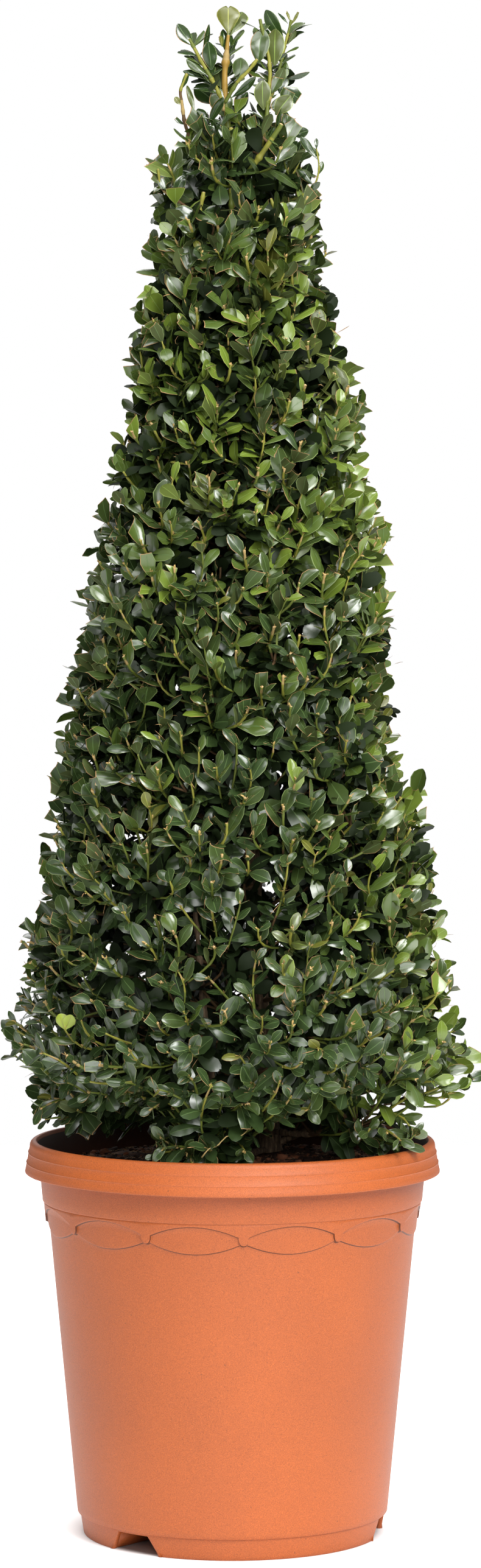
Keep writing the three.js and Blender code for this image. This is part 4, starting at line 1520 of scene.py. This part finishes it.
# Leaves placed one by one on limbs of the open top, where each one shows. A program worked out 24 of these
# rows, from the second stem_main group on. Every row: the height on the limb and how far to its right the
# leaf starts (mm); its heading in degrees right of upright; its lean towards the front; its roll; length and
# width (mm); its tone; and the part that the shears left.
SET_LEAVES = (
    ("stem_main", (
        (1224, 0, 0, 6, 0, 25, 19, YELLOW_GREEN, 1),
        (1223, 2, 20, -12, -20, 24, 16, OLIVE, 1),
        (1211, -2, -4, -8, 30, 17, 8, DEEP, 1),
        (1213, -4, -6, 12, 20, 9.5, 4.5, YELLOW_GREEN, 1),
        (1208, 3, 12, -6, 50, 22, 7, DEEP, 1),
        (1209, 3, 41, 4, 60, 15, 5, DEEP, 1),
        (1204, -3, -32, -12, 50, 12, 5, DEEP, 1),
        (1192, 3, 14, -12, 30, 14, 8, DEEP, 1),
        (1180, -3, -10, -9, -15, 24, 13.5, UNDERSIDE, 1),
        (1172, 5, 58, 10, 35, 26, 8, DEEP, 1),
        (1128, -3, -24, 12, 5, 24, 13, DEEP, 1),
        (1126, -10, -43, 8, 20, 22, 9, DEEP, 1),
        (1118, 2, 37, 11, -10, 16, 9.5, DEEP, 1),
        (1121, 0, 41, 10, -35, 27, 15, DEEP, 0.8),
        (1098, 1, 34, 13, -10, 23, 12.5, DEEP, 1),
        (1120, -9, -16, 15, 0, 12, 9.5, YELLOW_GREEN, 1),
        (1090, -26, -32, 7, 5, 27, 15, DEEP, 1),
        (1068, -30, -48, 8, 15, 27, 12, DEEP, 1),
    )),
    ("shoot_top_left", (
        (1205, 3, 17, -6, 50, 28, 7, DEEP, 1),
        (1194, 4, -5, 12, 0, 23, 12.5, DEEP, 1),
        (1190, -2, -50, 8, 20, 21, 8.5, DARK, 1),
        (1186, -2, -59, -2, 45, 23, 7, DEEP, 1),
        (1175, 0, -66, 10, 50, 23, 7, DEEP, 1),
        (1166, -3, -50, -10, 0, 27, 16, DEEP, 1),
    )),
    ("twig_left", (
        (1177, 0, 24, 4, 40, 17, 5.5, DEEP, 1),
        (1166, -1, -40, 8, 20, 8, 5, YELLOW_GREEN, 1),
        (1150, 0, -62, 4, 40, 12, 5, DEEP, 0.8),
        (1128, 3, 20, 7, 0, 24, 12, DEEP, 1),
    )),
    ("twig_low_left", (
        (1094, 0, -20, 10, 20, 14, 7, DEEP, 0.8),
        (1090, 2, 24, 10, 10, 19, 9, DEEP, 1),
        (1100, 0, -48, 6, 30, 12, 6, UNDERSIDE, 0.75),
    )),
    ("twig_right", (
        (1129, 0, -4, 4, 20, 9, 3.5, DEEP, 1),
        (1121, -1, -34, 4, 20, 23, 7, DEEP, 1),
        (1108, 0, 24, 4, 20, 12, 5, DARK, 1),
        (1100, -1, -42, 8, 10, 18, 6, DEEP, 1),
        (1095, 0, 52, 8, 10, 12, 6, DEEP, 1),
    )),
    ("twig_front_left", (
        (1070, 0, -62, 10, 10, 22, 12, DEEP, 1),
        (1068, 0, 48, 10, 10, 20, 11, DEEP, 1),
    )),
    ("twig_front_right", (
        (1071, 0, 58, 10, 10, 22, 12, DEEP, 1),
        (1066, 0, -54, 10, 10, 21, 12, DEEP, 1),
    )),
    ("shoot_top_right", (
        (1216, -3, -48, 2, 20, 10, 7, DARK, 1),
        (1176, 3, 28, 8, -10, 17, 10, DARK, 0.8),
        (1162, -3, -6, 7, 5, 24, 14, OLIVE, 1),
        (1158, 7, 36, 10, -10, 20, 14, OLIVE, 1),
        (1132, 4, 18, 12, 30, 18, 8, DEEP, 1),
        (1130, -3, -28, 8, 0, 19, 12, DEEP, 1),
        (1146, 14, 24, 6, 10, 18, 10, DARK, 0.7),
        (1120, 20, 50, 4, 15, 22, 12, DEEP, 1),
        (1102, 12, 46, 12, 0, 20, 12, DEEP, 1),
    )),
    ("shoot_top_far_right", (
        (1216, 2, 30, 2, 20, 13.5, 4.5, UNDERSIDE, 1),
        (1234, 0, -22, 4, 20, 11, 3, YELLOW_GREEN, 0.85),
        (1232, 1, 30, 4, 20, 13, 3, YELLOW_GREEN, 0.9),
        (1233, -2, -42, -4, 40, 12, 3.5, DEEP, 1),
        (1188, 7, 84, 0, 50, 21, 5.5, DEEP, 1),
        (1166, 13, 16, 6, 0, 18, 12, DARK, 0.72),
        (1176, 6, 10, -8, 0, 16, 12, DEEP, 1),
    )),
    ("stem_main", (
        (1156, -1, -13, 8, 5, 25, 19.1, DARK, 1),
        (1151, -15, 27, 12, 30, 25, 7.9, DEEP, 1),
        (1159, 8, 18, -8, 10, 20, 12, DEEP, 1),
        (1141, 23, -13, -10, 0, 20, 9.9, DEEP, 1),
    )),
    ("shoot_top_right", (
        (1180, 5, 24, 0, 20, 18, 9.1, UNDERSIDE, 1),
        (1180, 11, 118, -5, 0, 19, 13.3, DEEP, 0.85),
        (1156, 14, -15, 5, 0, 17, 16, DARK, 1),
        (1143, 9, 16, 5, 45, 21, 8.1, DEEP, 1),
        (1144, 20, -9, 0, 40, 17, 6.4, DEEP, 1),
        (1142, 23, 79, 0, 10, 13, 8.9, DEEP, 1),
        (1135, 33, 132, 8, 20, 17, 5.7, DARK, 1),
    )),
    ("stem_main", ((1150, -16, -35, -10, 10, 17, 10, DEEP, 1),)),
    ("shoot_top_left", ((1148, -24, -13, 0, 0, 23, 5.3, OLIVE, 1),)),
    ("stem_main", (
        (1117, -20, -28, 4, -15, 33, 18.1, UNDERSIDE, 1),
        (1129, -7, -30, 12, 5, 25, 12.6, DEEP, 1),
        (1137, -15, -57, 10, 10, 16, 7.7, DEEP, 1),
        (1137, -3, -26, 9, -10, 21, 9.6, DEEP, 1),
        (1141, 22, -88, 10, 20, 19, 12.1, UNDERSIDE, 1),
        (1117, 1, 36, 10, 0, 16, 9.5, DARK, 1),
        (1117, 12, 23, 10, 0, 15, 10.6, DARK, 1),
        (1095, -7, -52, 6, -25, 34, 14.9, DEEP, 1),
        (1098, -2, 40, 14, 0, 28, 13.3, DEEP, 1),
    )),
    ("shoot_top_right", (
        (1103, 18, 51, 15, 0, 23, 10.3, DEEP, 1),
        (1117, 35, 7, 8, 10, 19, 8.1, DEEP, 1),
    )),
    ("shoot_top_left", ((1213, 0, -40, 4, 15, 22, 12.5, DEEP, 1),)),
    ("shoot_top_right", (
        (1200, -9, 4, 8, 0, 29, 16, DARK, 1),
        (1198, 4, 0, 8, -10, 30, 16, OLIVE, 1),
    )),
    ("twig_short_right", ((1183, 2, 8, 9, 5, 21, 13.5, DARK, 1),)),
    ("shoot_top_far_right", ((1221, -3, -37, -4, -20, 30, 11.5, DEEP, 1),)),
)
SET_MASS = {
    "twig_right": "foliage_neck",
    "twig_left": "foliage_neck",
    "twig_low_left": "foliage_neck",
    "twig_front_left": "foliage_neck",
    "twig_front_right": "foliage_neck",
    "twig_short_right": "foliage_top_right",
    "stem_main": "foliage_tip",
    "shoot_top_left": "foliage_top_left",
    "shoot_top_right": "foliage_top_right",
    "shoot_top_far_right": "foliage_top_far_right",
}
TOWARD_FRONT = np.array([0, -1.0, 0])


def set_leaf(limb, height, side, heading, lean, roll, length, width, tone, cut):
    base = at_height(LIMBS[limb][0], height * MM) + [side * MM, -lean / 10 * MM, 0]
    heading, lean, roll = map(math.radians, (heading, lean, roll))
    flat = np.array([math.sin(heading), 0, math.cos(heading)])
    along = math.cos(lean) * flat + math.sin(lean) * TOWARD_FRONT
    face = square_to(TOWARD_FRONT, along)
    face = math.cos(roll) * face + math.sin(roll) * np.cross(along, face)
    return {
        "base": base, "along": along, "face": face, "length": length * MM, "width": width * MM,
        "tone": tone, "cut": cut, "mass": envelope.names.index(SET_MASS[limb]),
    }


def set_leaves():
    rng = random_for("set leaves")
    rows = gathered([set_leaf(limb, *row) for limb, group in SET_LEAVES for row in group])
    cut = rows["cut"]
    leaves = finish_leaves(rows, rng)
    leaves["cut"] = cut
    leaves["slant"] = np.where(cut < 1, rng.uniform(-0.12, 0.12, len(cut)), 0)
    leaves["bend"] = rng.normal(0.25, 0.2, len(cut))
    leaves["fold"] = rng.normal(0.3, 0.12, len(cut))
    leaves["notch"][0] = 0.1
    leaves["widest"][:2] = 1.8
    return leaves


def back_leaves():
    """Leaves that stand away from the front on the top shoots, so that the top is full from every side."""
    rng = random_for("back leaves")
    made = []
    for limb, mass in SET_MASS.items():
        if limb.startswith("twig_"):
            continue
        centres = LIMBS[limb][0]
        low = 1100 * MM if limb == "stem_main" else centres[0, 2] + 12 * MM
        for height in np.arange(low, centres[-1, 2] - 4 * MM, 8 * MM):
            base = at_height(centres, height)
            for swing in rng.uniform(0.1, math.pi - 0.1, 3):
                out = compass(swing)
                along = unit(out * rng.uniform(0.7, 1.3) + UP)
                face = UP - 0.5 * out + rng.normal(0, 0.2, 3)
                length = MM * rng.uniform(15, 22)
                made.append({
                    "base": base + out * 1.5 * MM, "along": along, "face": square_to(face, along),
                    "length": length, "width": length * rng.uniform(0.45, 0.58),
                    "tone": rng.choice([DEEP, DEEP, DARK, MID]), "mass": envelope.names.index(mass),
                })
    leaves = finish_leaves(gathered(made), rng)
    return picked(leaves, envelope.depths(leaf_tips(leaves)) < 12 * MM)


def leaf_tones(leaves, shoots, lit, rng):
    """Each leaf's tone: its spray's, a step up or down, darker on old nodes (partly their age, partly painted
    shade where little light comes, down to the near-black shaded tone), pale where it is turned.
    """
    tone = deal_tones(shoots)[leaves["shoot"]]
    node = leaves["node"]
    dim = rng.random(len(tone)) > lit
    step = rng.choice([-1, 0, 0, 0, 1], len(tone)) - (node > 1) * dim - (node > 3) * dim
    tone = np.where(tone <= FRESH, np.clip(tone + step, BLUE_GREEN, FRESH), tone)
    tone = np.where((node > 3) & (rng.random(len(tone)) < 0.65 - 0.3 * lit), SHADED, tone)
    facing = np.sum(leaves["face"] * unit(shoots["out"][leaves["shoot"]] + 0.3 * UP), 1)
    turned_away = (facing < -0.12) & (tone < YELLOW_GREEN)
    tone = np.where(turned_away, np.where(tone >= FRESH, UNDERSIDE_FRESH, UNDERSIDE), tone)
    young = (node == 0) & (leaves["length"] < 20 * MM) & (rng.random(len(tone)) < 0.05)
    return np.where(young, YELLOW_GREEN, tone)


def set_lime_pair(leaves):
    """The lime spray shows its outermost pair only, upright and facing the front."""
    lime = leaves["tone"] == LIME
    leaves["tone"][lime] = MID
    pair = np.flatnonzero(lime & (leaves["node"] == 0))
    for leaf, side in zip(pair, (1, -1)):
        leaves["along"][leaf] = unit(np.array([0.42 * side, -0.2, 0.9]))
        leaves["face"][leaf] = unit(np.array([0.15 * side, -1.0, -0.2]))
        leaves["length"][leaf], leaves["width"][leaf] = 14 * MM, 11 * MM
        leaves["tone"][leaf], leaves["cut"][leaf] = LIME, 1.0


BARE_SHARE = 0.24


def grown_leaves(shoots):
    """The rule's own leaves, toned and trimmed."""
    rng = random_for("finish")
    leaves = finish_leaves(place_leaves(shoots), rng)
    cut = trim(leaves, shoots, rng)
    leaves["cut"] = np.where(cut > 0.93, 1.0, cut)
    leaves["slant"] = np.where(leaves["cut"] < 1, rng.uniform(-0.3, 0.3, len(cut)), 0)
    side, height = leaves["base"][:, 0] - CROWN_X, leaves["base"][:, 2]
    # lit: how open to the light each leaf stands, higher in the upper crown below the top and at both sides;
    # leaf_tones paints less shade where it is high.
    lit = np.interp(height, [0.7, 0.82, 1.0, 1.08], [0, 0.8, 0.7, 0.1])
    lit = lit + np.interp(side, [-0.16, -0.09, 0.05, 0.14], [0.5, 0, 0, 0.65])
    leaves["tone"] = leaf_tones(leaves, shoots, lit, rng)
    set_lime_pair(leaves)
    leaves["mass"] = shoots["mass"][leaves["shoot"]]
    middle = leaves["base"] + 0.6 * leaves["along"] * (leaves["length"] * leaves["cut"])[:, None]
    alive = (leaves["cut"] > 0.3) & clear_of_pot(leaf_tips(leaves)) & clear_of_pot(middle)
    alive &= above_gap(leaf_tips(leaves), leaves["mass"]) & above_gap(leaves["base"], leaves["mass"])
    # some leaves below a shoot's first pair are missing, most of them in the lower half of the crown
    bare = BARE_SHARE * np.interp(height, [0.62, 0.78], [1, 0.2])
    alive &= (leaves["node"] < 1) | (rng.random(len(side)) > bare)
    return picked(leaves, alive)


CONE_BANDS = 5


def build_leaves(grown, by_hand, behind):
    """The leaves in one piece for each mass, and the cone's in bands."""
    for index, name in enumerate(envelope.names):
        here = grown["mass"] == index
        bands = CONE_BANDS if name == "foliage_cone" else 1
        height = grown["base"][:, 2]
        edges = np.quantile(height[here], np.linspace(0, 1, bands + 1)) if here.any() else np.zeros(2)
        edges[0] -= 1
        for band in range(bands):
            inside = here & (height > edges[band]) & (height <= edges[band + 1])
            whole = inside & (grown["cut"] >= 1)
            outer, deep = grown["node"] < 2, grown["node"] >= 5
            near = by_hand["mass"] == index
            joined = Joined()
            for leaves, mask, grade in (
                (grown, whole & outer, FULL),
                (grown, inside & (grown["cut"] < 1) & ~deep, CUT),
                (grown, whole & ~outer & ~deep, MIDDLE),
                (grown, whole & deep, INNER),
                (by_hand, near & (by_hand["cut"] >= 1), FINE),
                (by_hand, near & (by_hand["cut"] < 1), CUT),
                (behind, behind["mass"] == index, FULL),
            ):
                add_leaves(joined, picked(leaves, mask), grade)
            suffix = f"_{band + 1}" if bands > 1 else ""
            joined.piece(name.replace("foliage", "leaves") + suffix, LEAF_LOOKS, [name])


def build_plant():
    build_trunk_and_boughs()
    build_top_shoots()
    tubes = Tubes()
    starts = grow_boughs(tubes)
    tubes.add(smooth_line(DRY_TWIG, 16), 0.65 * MM, 0.45 * MM, SHOOT_NODE)
    for names, part in ((BOUGHS, slice(6, None, 2)), (SHOOTS, slice(2, -3, 3))):
        for name in names:
            starts += list(LIMBS[name][0][part])
    starts += [at_height(LEADER, height) for height in np.arange(BARK_TOP, 1.2, 0.01)]
    shoots = grow_shoots(starts)
    build_shoot_stems(shoots, tubes)
    twigs = Joined()
    tubes.into(twigs, sides=5)
    twigs.piece("twigs", SHOOT_LOOKS)
    build_inner_leaves(starts)
    grown = grown_leaves(shoots)
    build_buds(shoots, grown)
    build_leaves(grown, set_leaves(), back_leaves())


# ------------------------------------------------------------------ stage


FLOOR_REACH = 2.6
FLOOR_SIDES = 96
FLOOR_PALE = 0.8


def build_stage():
    """A pale round floor with a painted contact shadow where the pot stands and a painted glow further out
    that washes out cast shadows, and a white room.
    """
    floor = bpy.data.meshes.new("floor")
    rim = [FLOOR_REACH * compass(turn) for turn in np.linspace(0, 2 * math.pi, FLOOR_SIDES, endpoint=False)]
    floor.from_pydata(rim, [], [tuple(range(FLOOR_SIDES))])
    floor_object = bpy.data.objects.new("floor", floor)
    bpy.context.scene.collection.objects.link(floor_object)
    material, nodes = new_material("pale_floor")
    distance = nodes.output("VectorMath", "Value", {0: nodes.place()}, operation="LENGTH")
    # Painted contact shadow: the floor's colour is dark within the pot's foot and pale from 0.122 m out.
    painted_contact_shadow = nodes.ramp(distance, (0.115, 0.3), (0.122, FLOOR_PALE))
    inputs = nodes.surface(painted_contact_shadow, 0.9, 0)
    # Painted light: the floor glows from 0.114 m out, fully from 0.15 m, washing out the pot's cast shadows.
    nodes.feed(inputs["Emission Color"], nodes.ramp(distance, (0.114, 0), (0.15, 0.75)))
    inputs["Emission Strength"].default_value = 1.0
    floor.materials.append(material)

    world = bpy.data.worlds.new("studio")
    world.use_nodes = True
    nodes = Nodes(world.node_tree)
    split = nodes.add("SeparateXYZ")
    nodes.feed(split.inputs[0], nodes.add("TexCoord").outputs["Generated"])
    wall = nodes.ramp(split.outputs["Y"], (0.0, 0), (0.4, 0.3))
    ceiling = nodes.ramp(split.outputs["Z"], (0.35, 0), (0.65, 0.56))
    room = nodes.mix(1.0, wall, ceiling, "LIGHTEN")
    seen = nodes.add("LightPath").outputs["Is Camera Ray"]
    background = world.node_tree.nodes["Background"].inputs
    nodes.feed(background["Color"], nodes.mix(seen, room, (1.0, 1.0, 1.0)))
    background["Strength"].default_value = 1.0
    bpy.context.scene.world = world
    bpy.context.scene.view_settings.view_transform = "Standard"


def soft_light(name, place, aim, size, power):
    light = bpy.data.lights.new(name, "AREA")
    light.shape = "RECTANGLE"
    light.size, light.size_y = size
    light.energy = power
    obj = bpy.data.objects.new(name, light)
    obj.location = place
    obj.rotation_euler = (Vector(aim) - Vector(place)).to_track_quat("-Z", "Y").to_euler()
    bpy.context.scene.collection.objects.link(obj)


def build_lights():
    middle = (0, 0, 0.5 * cad_box[1][2])
    soft_light("key", (1.5, -2.6, 2.3), middle, (1.2, 1.6), 131)
    soft_light("front", (0.0, -4.5, 1.6), middle, (1.6, 1.6), 58)
    soft_light("overhead", (0.0, -1.3, 2.9), middle, (2.2, 1.2), 46)
    soft_light("back", (-0.4, 3.2, 2.3), middle, (2.0, 1.4), 24)


CAMERA_PLACE = (0.0066, -3.707, 0.773)
CAMERA_PITCH = math.radians(2.453)
CAMERA_LENS = 104.2


def build_camera():
    camera = bpy.data.cameras.new("camera")
    camera.lens = CAMERA_LENS
    camera.sensor_width = 36
    camera.sensor_fit = "AUTO"
    camera.clip_end = 50
    obj = bpy.data.objects.new("camera", camera)
    obj.location = CAMERA_PLACE
    obj.rotation_euler = (math.pi / 2 - CAMERA_PITCH, 0, 0)
    bpy.context.scene.collection.objects.link(obj)
    bpy.context.scene.camera = obj


build_camera()
build_stage()
build_lights()
build_pot()
build_soil()
build_plant()
